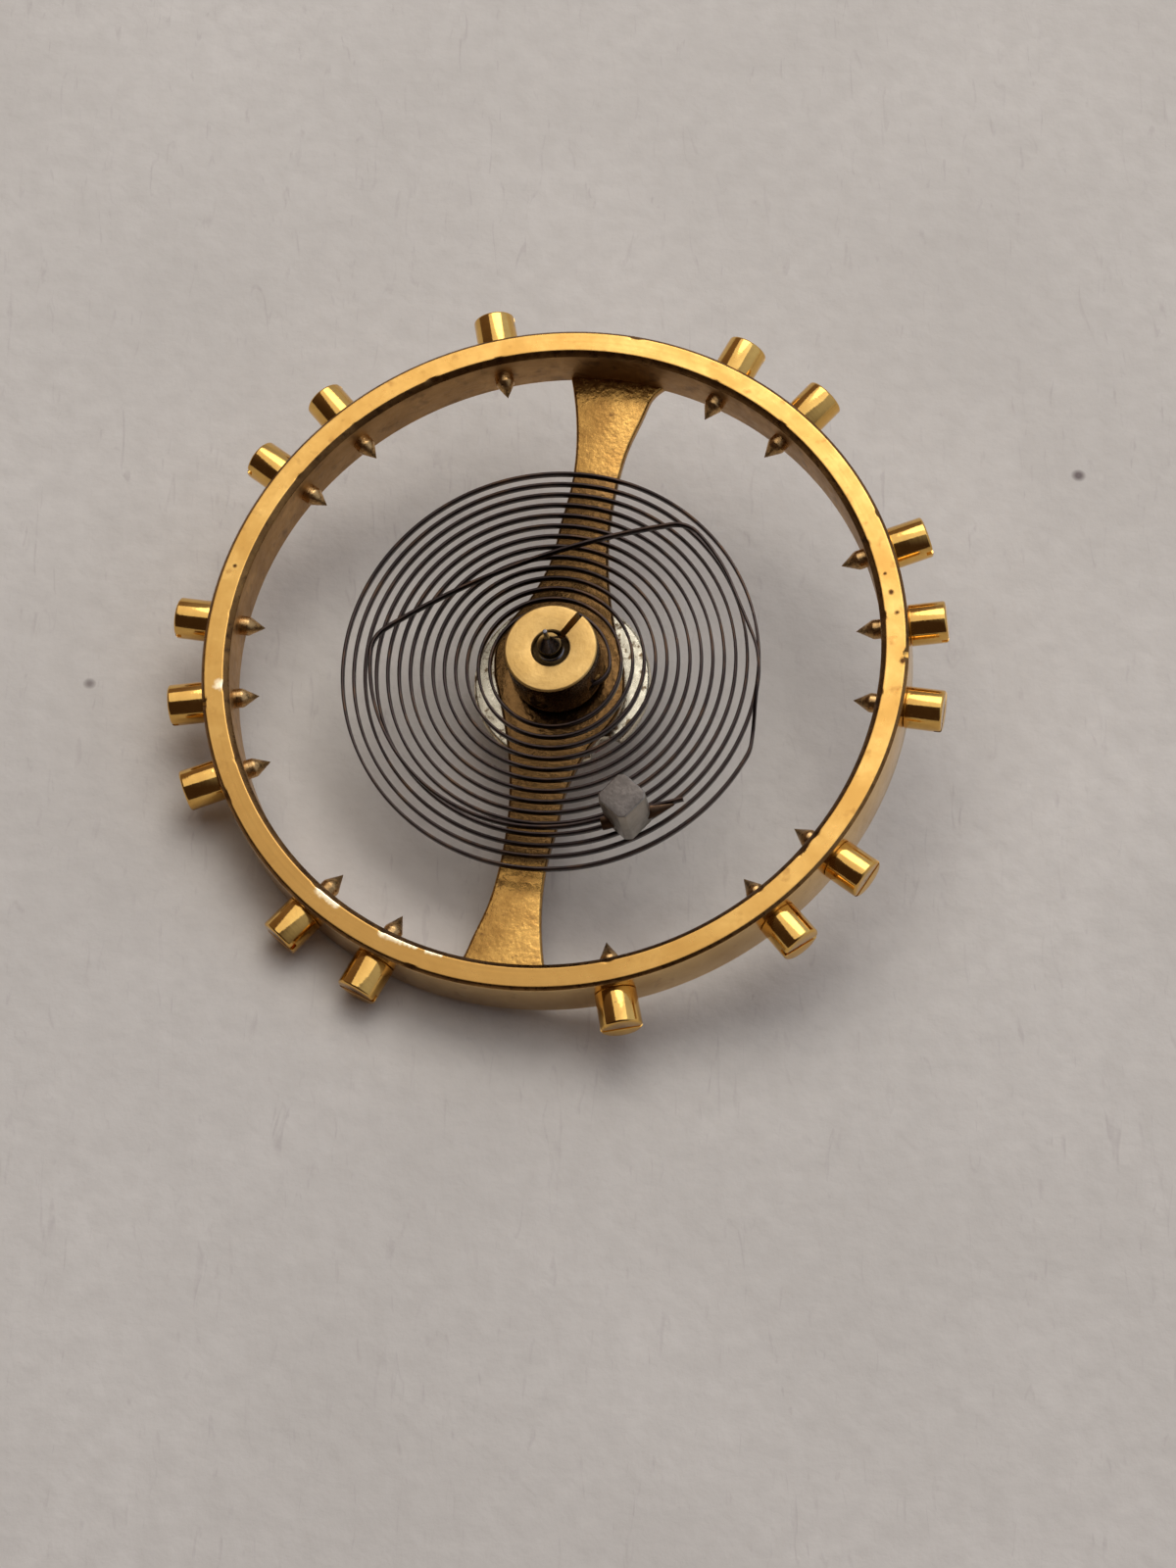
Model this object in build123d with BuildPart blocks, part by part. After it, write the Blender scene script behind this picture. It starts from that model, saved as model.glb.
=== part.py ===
"""Balance wheel of a pocket watch, with its staff, roller, hairspring and stud.

The staff stands on the Z axis. The origin is the tip of its lower pivot, and +Z runs up the
staff, towards the hairspring. +Y lies roughly along one arm of the wheel. All lengths are in
millimetres and all angles in degrees, counted anticlockwise from +X as seen from above.
"""

import math
import os

from build123d import *

# Fits
seat_clearance = 0.005
slot_clearance = 0.015
cut_overrun = 0.5

# Staff, from the lower pivot up
pivot_radius = 0.055
pivot_length = 0.35
pivot_cone_length = 0.35
arbor_radius = 0.27
lower_arbor_length = 0.30
roller_seat_radius = 0.30
roller_seat_length = 0.80
staff_hub_radius = 0.85
staff_hub_thickness = 0.25
arm_seat_radius = 0.58
rivet_radius = 0.66
rivet_height = 0.06
collet_seat_radius = 0.43
upper_shoulder_drop = 0.15
upper_arbor_length = 0.25

# Rim and cross bar
rim_outer_radius = 8.0
rim_wall = 0.63
rim_height = 1.45
rim_outer_bevel = 0.07
rim_inner_bevel = 0.12
arm_thickness = 0.25
hub_radius = 1.5
arm_count = 2

# Edges of one arm, as shares of the rim's inner radius, from the hub outwards
arm_left_shares = (
    (-0.203, 0.041),
    (-0.190, 0.122),
    (-0.148, 0.190),
    (-0.098, 0.247),
    (-0.053, 0.322),
    (-0.022, 0.394),
    (0.001, 0.494),
    (0.028, 0.593),
    (0.047, 0.700),
    (0.052, 0.850),
    (0.036, 1.003),
)
arm_right_shares = (
    (0.202, 0.000),
    (0.166, 0.190),
    (0.153, 0.380),
    (0.185, 0.635),
    (0.222, 0.760),
    (0.270, 0.866),
    (0.301, 0.925),
    (0.334, 0.950),
)
arm_left_end_heading = 100

# Balance screws: the angles of one half, which the other half repeats
screw_angles = (-10.5, 3.6, 17.5, 45.4, 59.8, 99.6, 128.0, 141.5)
screw_head_radius = 0.47
screw_head_length = 0.84
screw_head_bevel = 0.035
screw_shank_radius = 0.22
screw_shank_reach = 0.20
screw_point_length = 0.38
screw_slot_width = 0.11
screw_slot_depth = 0.16
screw_slot_step = 37
screw_slot_spread = 50

# Roller table and impulse jewel
roller_radius = 2.02
roller_thickness = 0.28
roller_bevel = 0.05
roller_hub_radius = 0.62
roller_hub_length = 0.50
crescent_radius = 0.42
crescent_offset = 0.10
jewel_angle = -60
jewel_radius = 0.18
jewel_wall = 0.07
jewel_drop = 0.75
jewel_flat_share = 0.5

# Collet
collet_radius = 1.06
collet_height = 1.25
collet_lift = 0.17
collet_bevel = 0.04
collet_slot_width = 0.16
collet_slot_angle = 50
collet_hole_radius = 0.16
collet_hole_wall = 0.12
collet_hole_height = 0.43
collet_hole_angle = -72
collet_pin_tail = 0.10

# Hairspring: strip and flat coils
strip_thickness = 0.065
strip_height = 0.18
coil_pitch = 0.2585
half_turns = 28
first_coil_gap = 0.304
inner_bend_radius = 0.50
coil_shift_x = -0.06
coil_shift_y = -0.08
last_coil_spread = 0.04

# Overcoil: the raised outer curve of the hairspring
overcoil_rise = 0.45
ramp_start_angle = -26
ramp_start_inset = 0.045
ramp_end_radius = 2.40
straight_length = 1.90
outer_curve_angle = 20
outer_curve_inset = 0.58
first_knee_angle = 40
knee_radius = 0.70
crossing_radius = 16.0
inner_curve_inset = 0.744
second_knee_angle = 176
stud_line_angle = 282
tail_length = 2.10

# Stud and its pin
stud_distance = 0.83
stud_width = 0.84
stud_height = 1.40
stud_corner = 0.12
stud_offset = 0.035
stud_turn = 33
stud_hole_radius = 0.20
stud_hole_wall = 0.06
stud_pin_body_length = 1.10
stud_pin_point = 0.50
stud_pin_tip_radius = 0.03
stud_pin_tail = 0.07

# Levels along the staff
roller_seat_level = pivot_length + pivot_cone_length + lower_arbor_length
staff_hub_level = roller_seat_level + roller_seat_length
arm_level = staff_hub_level + staff_hub_thickness
arm_top = arm_level + arm_thickness
screw_level = arm_level + rim_height / 2
collet_level = arm_top + collet_lift
collet_top = collet_level + collet_height
spring_level = collet_level + collet_hole_height
overcoil_level = spring_level + overcoil_rise
upper_cone_level = collet_top + upper_arbor_length
staff_top = upper_cone_level + pivot_cone_length + pivot_length

rim_inner_radius = rim_outer_radius - rim_wall
jewel_offset = roller_radius + crescent_offset - crescent_radius - jewel_wall - jewel_radius
collet_hole_offset = collet_radius - collet_hole_wall - collet_hole_radius
strip_clearance = strip_thickness / 2 + slot_clearance

os.makedirs("parts", exist_ok=True)


def turned(angle):
    """Unit vector at an angle in the XY plane."""
    return Vector(math.cos(math.radians(angle)), math.sin(math.radians(angle)), 0)


def heading(vector):
    """Angle of a vector in the XY plane, from 0 to 360."""
    return math.degrees(math.atan2(vector.Y, vector.X)) % 360


def at_level(vector, level):
    """Point of the XY plane raised to a level."""
    return Vector(vector.X, vector.Y, level)


def cross_plane(origin, direction):
    """Upright plane square to a level direction. Its X axis points to the direction's right."""
    return Plane(origin=origin, x_dir=direction.cross(Vector(0, 0, 1)), z_dir=direction)


def finish(builder, name):
    """Name a finished piece and write it."""
    builder.part.label = name
    export_step(builder.part, f"parts/{name}.step")
    print(f"{name}: {builder.part.volume:.5f} mm3")


# The rim and its cross bar are one piece of metal. Both arms lie flush with the rim's lower face.
with BuildPart() as balance_rim:
    with BuildSketch(Plane.XZ) as rim_section:
        with Locations(((rim_inner_radius + rim_outer_radius) / 2, screw_level)):
            Rectangle(rim_wall, rim_height)
        chamfer(rim_section.vertices().group_by(Axis.X)[0], rim_inner_bevel)
        chamfer(rim_section.vertices().group_by(Axis.X)[-1], rim_outer_bevel)
    revolve(axis=Axis.Z)

    with BuildSketch(mode=Mode.PRIVATE) as arm_outline:
        left_points = [Vector(x, y) * rim_inner_radius for x, y in arm_left_shares]
        right_points = [Vector(x, y) * rim_inner_radius for x, y in arm_right_shares]
        rim_middle = (rim_inner_radius + rim_outer_radius) / 2
        left_end = Vector(left_points[-1].X, rim_middle)
        right_end = right_points[-1].normalized() * rim_middle
        with BuildLine():
            Spline(*left_points, tangents=[turned(90), turned(arm_left_end_heading)])
            Polyline(left_points[-1], left_end, right_end, right_points[-1])
            Spline(*right_points)
            Polyline(right_points[0], (0, 0), left_points[0])
        make_face()

    with BuildSketch(Plane.XY.offset(arm_level)) as cross_bar:
        Circle(hub_radius)
        with PolarLocations(0, arm_count):
            add(arm_outline.sketch)
    extrude(amount=arm_thickness)

    with BuildSketch(Plane.XY.offset(arm_level)) as staff_hole:
        Circle(arm_seat_radius + seat_clearance)
    extrude(amount=arm_thickness, mode=Mode.SUBTRACT)

    for half in range(arm_count):
        for angle in screw_angles:
            outward = turned(angle + half * 360 / arm_count)
            inside = at_level(outward * (rim_inner_radius - cut_overrun), screw_level)
            with BuildSketch(cross_plane(inside, outward)) as tapped_hole:
                Circle(screw_shank_radius + seat_clearance)
            extrude(amount=rim_wall + 2 * cut_overrun, mode=Mode.SUBTRACT)
finish(balance_rim, "balance_rim")

# Sixteen screws, each with its slot at its own turn and a pointed end inside the rim.
screw_reach = rim_wall + screw_shank_reach
for half in range(arm_count):
    for place, angle in enumerate(screw_angles):
        number = half * len(screw_angles) + place + 1
        outward = turned(angle + half * 360 / arm_count)
        seat = at_level(outward * rim_outer_radius, screw_level)
        side = outward.cross(Vector(0, 0, 1))
        with BuildPart() as balance_screw:
            with BuildSketch(Plane(origin=seat, x_dir=outward, z_dir=side)) as screw_section:
                with BuildLine():
                    Polyline(
                        (-screw_reach - screw_point_length, 0),
                        (-screw_reach, screw_shank_radius),
                        (0, screw_shank_radius),
                        (0, screw_head_radius),
                        (screw_head_length - screw_head_bevel, screw_head_radius),
                        (screw_head_length, screw_head_radius - screw_head_bevel),
                        (screw_head_length, 0),
                        close=True,
                    )
                make_face()
            revolve(axis=Axis(seat, outward))
            head_end = cross_plane(seat + outward * screw_head_length, outward)
            with BuildSketch(head_end) as screw_slot:
                slot_length = 2 * screw_head_radius + cut_overrun
                slot_turn = screw_slot_step * number % screw_slot_spread - screw_slot_spread / 2
                Rectangle(slot_length, screw_slot_width, rotation=slot_turn)
            extrude(amount=-screw_slot_depth, mode=Mode.SUBTRACT)
        finish(balance_screw, f"balance_screw_{number:02d}")

# The staff is turned in one piece. Its rivet is spread over the arms from above.
with BuildPart() as balance_staff:
    with BuildSketch(Plane.XZ) as staff_section:
        with BuildLine():
            Polyline(
                (0, 0),
                (pivot_radius, 0),
                (pivot_radius, pivot_length),
                (arbor_radius, pivot_length + pivot_cone_length),
                (arbor_radius, roller_seat_level),
                (roller_seat_radius, roller_seat_level),
                (roller_seat_radius, staff_hub_level),
                (staff_hub_radius, staff_hub_level),
                (staff_hub_radius, arm_level),
                (arm_seat_radius, arm_level),
                (arm_seat_radius, arm_top),
                (rivet_radius, arm_top),
                (rivet_radius, arm_top + rivet_height / 2),
                (arm_seat_radius, arm_top + rivet_height),
                (collet_seat_radius, arm_top + rivet_height),
                (collet_seat_radius, collet_top - upper_shoulder_drop),
                (arbor_radius, collet_top),
                (arbor_radius, upper_cone_level),
                (pivot_radius, staff_top - pivot_length),
                (pivot_radius, staff_top),
                (0, staff_top),
                close=True,
            )
        make_face()
    revolve(axis=Axis.Z)
finish(balance_staff, "balance_staff")

# The roller table hangs under the staff's hub, with a crescent cut in its edge outside the jewel.
roller_top = staff_hub_level
jewel_centre = turned(jewel_angle) * jewel_offset
with BuildPart() as roller_table:
    with BuildSketch(Plane.XY.offset(roller_top - roller_thickness)) as table:
        Circle(roller_radius)
        with Locations(turned(jewel_angle) * (roller_radius + crescent_offset)):
            Circle(crescent_radius, mode=Mode.SUBTRACT)
    extrude(amount=roller_thickness)
    chamfer(roller_table.faces().sort_by(Axis.Z)[-1].edges(), roller_bevel)
    with BuildSketch(Plane.XY.offset(roller_top - roller_thickness)) as roller_hub:
        Circle(roller_hub_radius)
    extrude(amount=-roller_hub_length)
    with BuildSketch(Plane.XY.offset(roller_top)) as roller_holes:
        Circle(roller_seat_radius + seat_clearance)
        with Locations(jewel_centre):
            Circle(jewel_radius + seat_clearance)
    extrude(amount=-roller_thickness - roller_hub_length, mode=Mode.SUBTRACT)
finish(roller_table, "roller_table")

# The impulse jewel is a round pin with a flat on its outer side, flush with the roller's top.
with BuildPart() as impulse_jewel:
    with BuildSketch(Plane.XY.offset(roller_top)) as jewel_section:
        with Locations(jewel_centre):
            Circle(jewel_radius)
        flat_centre = jewel_centre + turned(jewel_angle) * jewel_radius * (1 + jewel_flat_share)
        with Locations(Location(flat_centre, (0, 0, jewel_angle))):
            Rectangle(2 * jewel_radius, 2 * jewel_radius, mode=Mode.SUBTRACT)
    extrude(amount=-roller_thickness - jewel_drop)
finish(impulse_jewel, "impulse_jewel")

# A hole across the collet, beside the staff, takes the strip and the pin that wedges it.
pin_direction = turned(collet_hole_angle + 90)
hole_middle = at_level(turned(collet_hole_angle) * collet_hole_offset, spring_level)
hole_half_length = math.sqrt(collet_radius**2 - collet_hole_offset**2)
with BuildPart() as collet:
    with BuildSketch(Plane.XY.offset(collet_level)) as ring:
        Circle(collet_radius)
        Circle(collet_seat_radius + seat_clearance, mode=Mode.SUBTRACT)
    extrude(amount=collet_height)
    chamfer(collet.edges().filter_by(GeomType.CIRCLE).sort_by(SortBy.RADIUS)[-2:], collet_bevel)
    with BuildSketch(cross_plane(hole_middle, pin_direction)) as pin_hole:
        Circle(collet_hole_radius)
    extrude(amount=hole_half_length + cut_overrun, both=True, mode=Mode.SUBTRACT)
    slot_middle = turned(collet_slot_angle) * collet_radius / 2
    slot_plane = Plane(at_level(slot_middle, collet_level), x_dir=turned(collet_slot_angle))
    with BuildSketch(slot_plane) as collet_slot:
        Rectangle(collet_radius, collet_slot_width)
    extrude(amount=collet_height, mode=Mode.SUBTRACT)
finish(collet, "collet")

# The pin fills the inner side of the hole, flat against the strip. It ends flush where the strip
# leaves, and stands out at its other end.
pin_radius = collet_hole_radius - seat_clearance
strip_offset = collet_hole_radius / 2 - strip_thickness / 2
pin_start = hole_middle - pin_direction * (hole_half_length + collet_pin_tail)
with BuildPart() as collet_pin:
    with BuildSketch(cross_plane(pin_start, pin_direction)) as pin_section:
        Circle(pin_radius)
        with Locations((strip_offset - strip_clearance + pin_radius, 0)):
            Rectangle(2 * pin_radius, 2 * pin_radius, mode=Mode.SUBTRACT)
    extrude(amount=2 * hole_half_length + collet_pin_tail - seat_clearance)
finish(collet_pin, "collet_pin")

# Hairspring, inner end: a straight stretch in the collet, then a bend out to the first coil.
first_coil_radius = collet_radius + first_coil_gap
coil_shift = Vector(coil_shift_x, coil_shift_y)
spiral_centres = (coil_shift - Vector(coil_pitch / 4, 0), coil_shift + Vector(coil_pitch / 4, 0))
strip_distance = collet_hole_offset + strip_offset
strip_foot = turned(collet_hole_angle) * strip_distance
bend_reach = turned(collet_hole_angle) * (strip_distance - inner_bend_radius) - spiral_centres[0]
along = bend_reach.dot(pin_direction)
bend_gap = first_coil_radius - inner_bend_radius
bend_start = math.sqrt(along**2 - bend_reach.dot(bend_reach) + bend_gap**2) - along
inner_bend_centre = spiral_centres[0] + bend_reach + pin_direction * bend_start
first_coil_angle = heading(inner_bend_centre - spiral_centres[0]) - 360

# The last half turn opens outwards. A short bend then turns it inwards, and the strip climbs a
# straight ramp to the overcoil.
last_centre = spiral_centres[(half_turns - 1) % 2] + Vector(last_coil_spread, 0)
last_radius = first_coil_radius + (half_turns - 1) * coil_pitch / 2 + last_coil_spread
last_start_angle = (half_turns - 1) * 180
outer_curve_radius = last_radius - outer_curve_inset
straight_direction = turned(outer_curve_angle + 90)
straight_end = turned(outer_curve_angle) * outer_curve_radius
corner = straight_end - straight_direction * straight_length
ramp_start = last_centre + turned(ramp_start_angle) * (last_radius - ramp_start_inset)
ramp_angle = heading(corner - ramp_start)
ramp_direction = turned(ramp_angle)
ramp_inwards = turned(ramp_angle + 90)
corner_tangent = ramp_end_radius * math.tan(math.radians(outer_curve_angle + 90 - ramp_angle) / 2)
ramp_length = (corner - ramp_start).length - corner_tangent
ramp_end = ramp_start + ramp_direction * ramp_length
ramp_curve_radius = (ramp_length**2 + overcoil_rise**2) / (4 * overcoil_rise)
ramp_reach = ramp_start - last_centre
ramp_start_radius = (last_radius**2 - ramp_reach.dot(ramp_reach)) / (
    2 * (last_radius + ramp_inwards.dot(ramp_reach))
)
ramp_bend_centre = ramp_start + ramp_inwards * ramp_start_radius
last_angle = heading(ramp_bend_centre - last_centre)
print(f"hairspring: bend of {ramp_start_radius:.2f} mm into a ramp {ramp_length:.2f} mm long")

# Overcoil: two knees joined by one long arc across the coils, then an arc about the staff.
inner_curve_radius = last_radius - inner_curve_inset
first_knee = turned(first_knee_angle) * (outer_curve_radius - knee_radius)
second_knee = turned(second_knee_angle) * (inner_curve_radius - knee_radius)
across = second_knee - first_knee
crossing_reach = math.sqrt((crossing_radius - knee_radius) ** 2 - across.length**2 / 4)
crossing_centre = (first_knee + second_knee) / 2 + across.normalized().rotate(Axis.Z, 90) * crossing_reach
first_turn_angle = heading(first_knee - crossing_centre)
second_turn_angle = heading(second_knee - crossing_centre)
stud_line = turned(stud_line_angle + 90)
stud_line_start = turned(stud_line_angle) * inner_curve_radius


def ramp_point(share):
    """Point of the ramp's upward double curve, at a share of its length."""
    nearer = min(share, 1 - share) * ramp_length
    height = ramp_curve_radius - math.sqrt(ramp_curve_radius**2 - nearer**2)
    if share > 1 / 2:
        height = overcoil_rise - height
    return at_level(ramp_start + ramp_direction * share * ramp_length, spring_level + height)


with BuildPart() as hairspring:
    with BuildLine() as strip_route:
        strip_end = at_level(strip_foot - pin_direction * hole_half_length / 2, spring_level)
        Line(strip_end, at_level(strip_foot + pin_direction * bend_start, spring_level))
        CenterArc(
            at_level(inner_bend_centre, spring_level),
            inner_bend_radius,
            collet_hole_angle,
            first_coil_angle - collet_hole_angle,
        )
        for turn in range(half_turns - 1):
            from_angle = first_coil_angle if turn == 0 else turn * 180
            CenterArc(
                at_level(spiral_centres[turn % 2], spring_level),
                first_coil_radius + turn * coil_pitch / 2,
                from_angle,
                (turn + 1) * 180 - from_angle,
            )
        CenterArc(
            at_level(last_centre, spring_level),
            last_radius,
            last_start_angle,
            (last_angle - last_start_angle) % 360,
        )
        CenterArc(
            at_level(ramp_bend_centre, spring_level),
            ramp_start_radius,
            last_angle,
            (ramp_angle - 90 - last_angle) % 360,
        )
        ThreePointArc(ramp_point(0), ramp_point(1 / 4), ramp_point(1 / 2))
        ThreePointArc(ramp_point(1 / 2), ramp_point(3 / 4), ramp_point(1))
        CenterArc(
            at_level(ramp_end + ramp_inwards * ramp_end_radius, overcoil_level),
            ramp_end_radius,
            ramp_angle - 90,
            outer_curve_angle + 90 - ramp_angle,
        )
        Line(
            at_level(corner + straight_direction * corner_tangent, overcoil_level),
            at_level(straight_end, overcoil_level),
        )
        for centre, radius, from_angle, to_angle in (
            (Vector(0, 0), outer_curve_radius, outer_curve_angle, first_knee_angle),
            (first_knee, knee_radius, first_knee_angle, first_turn_angle),
            (crossing_centre, crossing_radius, first_turn_angle, second_turn_angle),
            (second_knee, knee_radius, second_turn_angle, second_knee_angle),
            (Vector(0, 0), inner_curve_radius, second_knee_angle, stud_line_angle),
        ):
            CenterArc(at_level(centre, overcoil_level), radius, from_angle, to_angle - from_angle)
        tail_start = at_level(stud_line_start, overcoil_level)
        Line(tail_start, tail_start + stud_line * tail_length)
    with BuildSketch(cross_plane(strip_end, pin_direction)) as strip_section:
        Rectangle(strip_thickness, strip_height)
    sweep()
finish(hairspring, "hairspring")

strip_length = sum(edge.length for edge in strip_route.edges())
swept_volume = strip_length * strip_thickness * strip_height
print(f"hairspring: {strip_length:.1f} mm of strip, section times length {swept_volume:.5f} mm3")

# Least gap of the strip to itself, between points more than half an inner coil apart.
point_spacing = coil_pitch
route_points = []
route_places = []
passed = 0
for edge in strip_route.edges():
    steps = math.ceil(edge.length / point_spacing)
    for step in range(steps):
        route_points.append(edge @ (step / steps))
        route_places.append(passed + edge.length * step / steps)
    passed += edge.length
least_gap = rim_outer_radius
for index, point in enumerate(route_points):
    for other in range(index):
        if route_places[index] - route_places[other] > math.pi * first_coil_radius:
            apart = point - route_points[other]
            sideways = max(math.hypot(apart.X, apart.Y) - strip_thickness, 0)
            upwards = max(abs(apart.Z) - strip_height, 0)
            least_gap = min(least_gap, math.hypot(sideways, upwards))
print(f"hairspring: least gap to itself {least_gap:.3f} mm, on {len(route_points)} points")

# The stud is a square block with cut corners. Its hole follows the strip's straight tail.
stud_centre = at_level(stud_line_start + stud_line * stud_distance, overcoil_level)
stud_outward = turned(stud_line_angle)
stud_hole_offset = stud_hole_radius / 2 - strip_thickness / 2
stud_hole_middle = stud_centre + stud_outward * stud_hole_offset
stud_middle = stud_centre + stud_outward * stud_offset
stud_foot = at_level(stud_middle, overcoil_level - stud_hole_radius - stud_hole_wall)
with BuildPart() as stud:
    with BuildSketch(Plane(stud_foot, x_dir=stud_line)) as stud_plan:
        Rectangle(stud_width, stud_width, rotation=stud_turn)
        chamfer(stud_plan.vertices(), stud_corner)
    extrude(amount=stud_height)
    with BuildSketch(cross_plane(stud_hole_middle, stud_line)) as stud_hole:
        Circle(stud_hole_radius)
    extrude(amount=stud_width, both=True, mode=Mode.SUBTRACT)
finish(stud, "stud")

# The stud's pin lies outside the strip in the same hole, and ends in a point beside the tail.
stud_pin_radius = stud_hole_radius - seat_clearance
pin_body_end = stud_pin_body_length / 2
with BuildPart() as stud_pin:
    with BuildSketch(Plane(stud_hole_middle, x_dir=stud_line, z_dir=(0, 0, 1))) as pin_profile:
        with BuildLine():
            Polyline(
                (-pin_body_end - stud_pin_tail, 0),
                (-pin_body_end - stud_pin_tail, stud_pin_radius),
                (pin_body_end, stud_pin_radius),
                (pin_body_end + stud_pin_point, stud_pin_tip_radius),
                (pin_body_end + stud_pin_point, 0),
                close=True,
            )
        make_face()
    revolve(axis=Axis(stud_hole_middle, stud_line))
    flat_offset = stud_pin_radius + stud_hole_offset - strip_clearance
    flat_middle = stud_hole_middle - stud_outward * flat_offset
    with BuildSketch(cross_plane(flat_middle, stud_line)) as pin_flat:
        Rectangle(2 * stud_pin_radius, 2 * stud_pin_radius + cut_overrun)
    extrude(amount=pin_body_end + stud_pin_point + cut_overrun, both=True, mode=Mode.SUBTRACT)
finish(stud_pin, "stud_pin")
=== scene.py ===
"""Looks of a pocket watch's balance wheel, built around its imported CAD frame.

All sizes are in millimetres and angles in degrees, as in the CAD source, and each mesh is
scaled to metres when it becomes a piece. The staff stands on the Z axis, with +Z towards the
hairspring, and the photograph is taken from above with +Y up.
"""

import math

import bmesh
import bpy
import numpy as np
from mathutils import Matrix, Vector


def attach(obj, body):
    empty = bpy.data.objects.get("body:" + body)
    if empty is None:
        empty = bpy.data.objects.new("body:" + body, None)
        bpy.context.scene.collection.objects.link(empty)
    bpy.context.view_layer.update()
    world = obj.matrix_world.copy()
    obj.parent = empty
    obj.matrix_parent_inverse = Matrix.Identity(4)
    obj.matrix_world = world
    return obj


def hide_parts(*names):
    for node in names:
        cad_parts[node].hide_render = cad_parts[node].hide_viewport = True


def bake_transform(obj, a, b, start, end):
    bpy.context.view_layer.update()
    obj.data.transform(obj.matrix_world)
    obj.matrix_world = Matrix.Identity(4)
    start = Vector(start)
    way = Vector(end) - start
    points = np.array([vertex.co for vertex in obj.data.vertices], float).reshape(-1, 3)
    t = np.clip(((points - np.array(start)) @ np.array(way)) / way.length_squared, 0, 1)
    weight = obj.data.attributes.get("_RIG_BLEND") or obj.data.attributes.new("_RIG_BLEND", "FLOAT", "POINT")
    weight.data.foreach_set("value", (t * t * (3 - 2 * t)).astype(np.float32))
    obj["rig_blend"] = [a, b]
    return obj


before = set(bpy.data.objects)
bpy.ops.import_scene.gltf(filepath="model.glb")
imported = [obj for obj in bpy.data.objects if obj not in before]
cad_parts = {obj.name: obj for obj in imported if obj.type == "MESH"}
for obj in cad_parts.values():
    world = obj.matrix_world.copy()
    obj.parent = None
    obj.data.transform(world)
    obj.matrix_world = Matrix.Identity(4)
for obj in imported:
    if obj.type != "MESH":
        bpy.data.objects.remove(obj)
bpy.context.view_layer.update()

MM = 0.001
UP = np.array([0.0, 0.0, 1.0])

# Shared by several pieces: the gap at a seat, the rounding of cut, turned and fine edges, and
# the sides of a pin or a drilled hole
SEAT_GAP = 0.005
CUT_EDGE = 0.012
TURNED_CORNER = 0.03
FINE_CORNER = 0.02
ROD_SEGMENTS = 64

# Rim, arms and hub
RIM_OUTER = 8.0
RIM_WALL = 0.63
RIM_INNER = RIM_OUTER - RIM_WALL
ARM_LEVEL = 2.05
RIM_HEIGHT = 1.45
RIM_TOP = ARM_LEVEL + RIM_HEIGHT
OUTER_BEVEL = 0.07
INNER_BEVEL = 0.12
RIM_SEGMENTS = 1080
EDGE_STRIP = 0.06
ARM_THICKNESS = 0.25
ARM_TOP = ARM_LEVEL + ARM_THICKNESS
ARM_BEVEL = 0.07
ARM_LIFT = 0.002
ARM_SEAT = 0.58
# Both sides of one arm from the middle outwards, as shares of the rim's inner radius. The other
# arm is the same, half a turn away.
ARM_LEFT = (
    (-0.203, 0.041),
    (-0.190, 0.122),
    (-0.148, 0.190),
    (-0.098, 0.247),
    (-0.053, 0.322),
    (-0.022, 0.394),
    (0.001, 0.494),
    (0.028, 0.593),
    (0.047, 0.700),
    (0.052, 0.850),
    (0.036, 1.003),
)
ARM_RIGHT = (
    (0.202, 0.000),
    (0.166, 0.190),
    (0.153, 0.380),
    (0.185, 0.635),
    (0.222, 0.760),
    (0.270, 0.866),
    (0.301, 0.925),
    (0.334, 0.950),
)
ARM_LEFT_HEADING = 100
ARM_CURVE_POINTS = 80

# Screws. The other eight are half a turn away.
SCREW_ANGLES = (-10.5, 3.6, 17.5, 45.4, 59.8, 99.6, 128.0, 141.5)
SCREW_LEVEL = ARM_LEVEL + RIM_HEIGHT / 2
HEAD_RADIUS = 0.47
HEAD_LENGTH = 0.84
HEAD_BEVEL = 0.035
SHANK_RADIUS = 0.22
SHANK_PAST_RIM = 0.20
SHANK_END = -(RIM_WALL + SHANK_PAST_RIM)
POINT_LENGTH = 0.38
POINT_REACH = 0.3
SLOT_WIDTH = 0.11
SLOT_DEPTH = 0.16
SLOT_STEP = 37
SLOT_SPREAD = 50
SLOT_CUT_LENGTH = 1.5
SLOT_CUT_OVERRUN = 0.5
SCREW_SEGMENTS = 96

# Wear along the rim's top edges: angle, whether it is the inner edge, half width and depth
NICKS = (
    (-3.5, False, 0.16, 0.07),
    (22.0, False, 0.12, 0.03),
    (76.0, False, 0.20, 0.03),
    (112.0, True, 0.20, 0.04),
    (186.0, False, 0.14, 0.06),
    (203.0, False, 0.22, 0.04),
    (247.0, False, 0.18, 0.03),
    (318.0, True, 0.22, 0.04),
)
# Half width and depth of the wear beside every second screw, and beside the others
SCREW_NICKS = ((1, 0.15, 0.022), (0, 0.11, 0.014))
NICK_REACH = 0.04
NICK_BAND = 0.03
NICK_DROP_SHARE = 0.25

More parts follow.
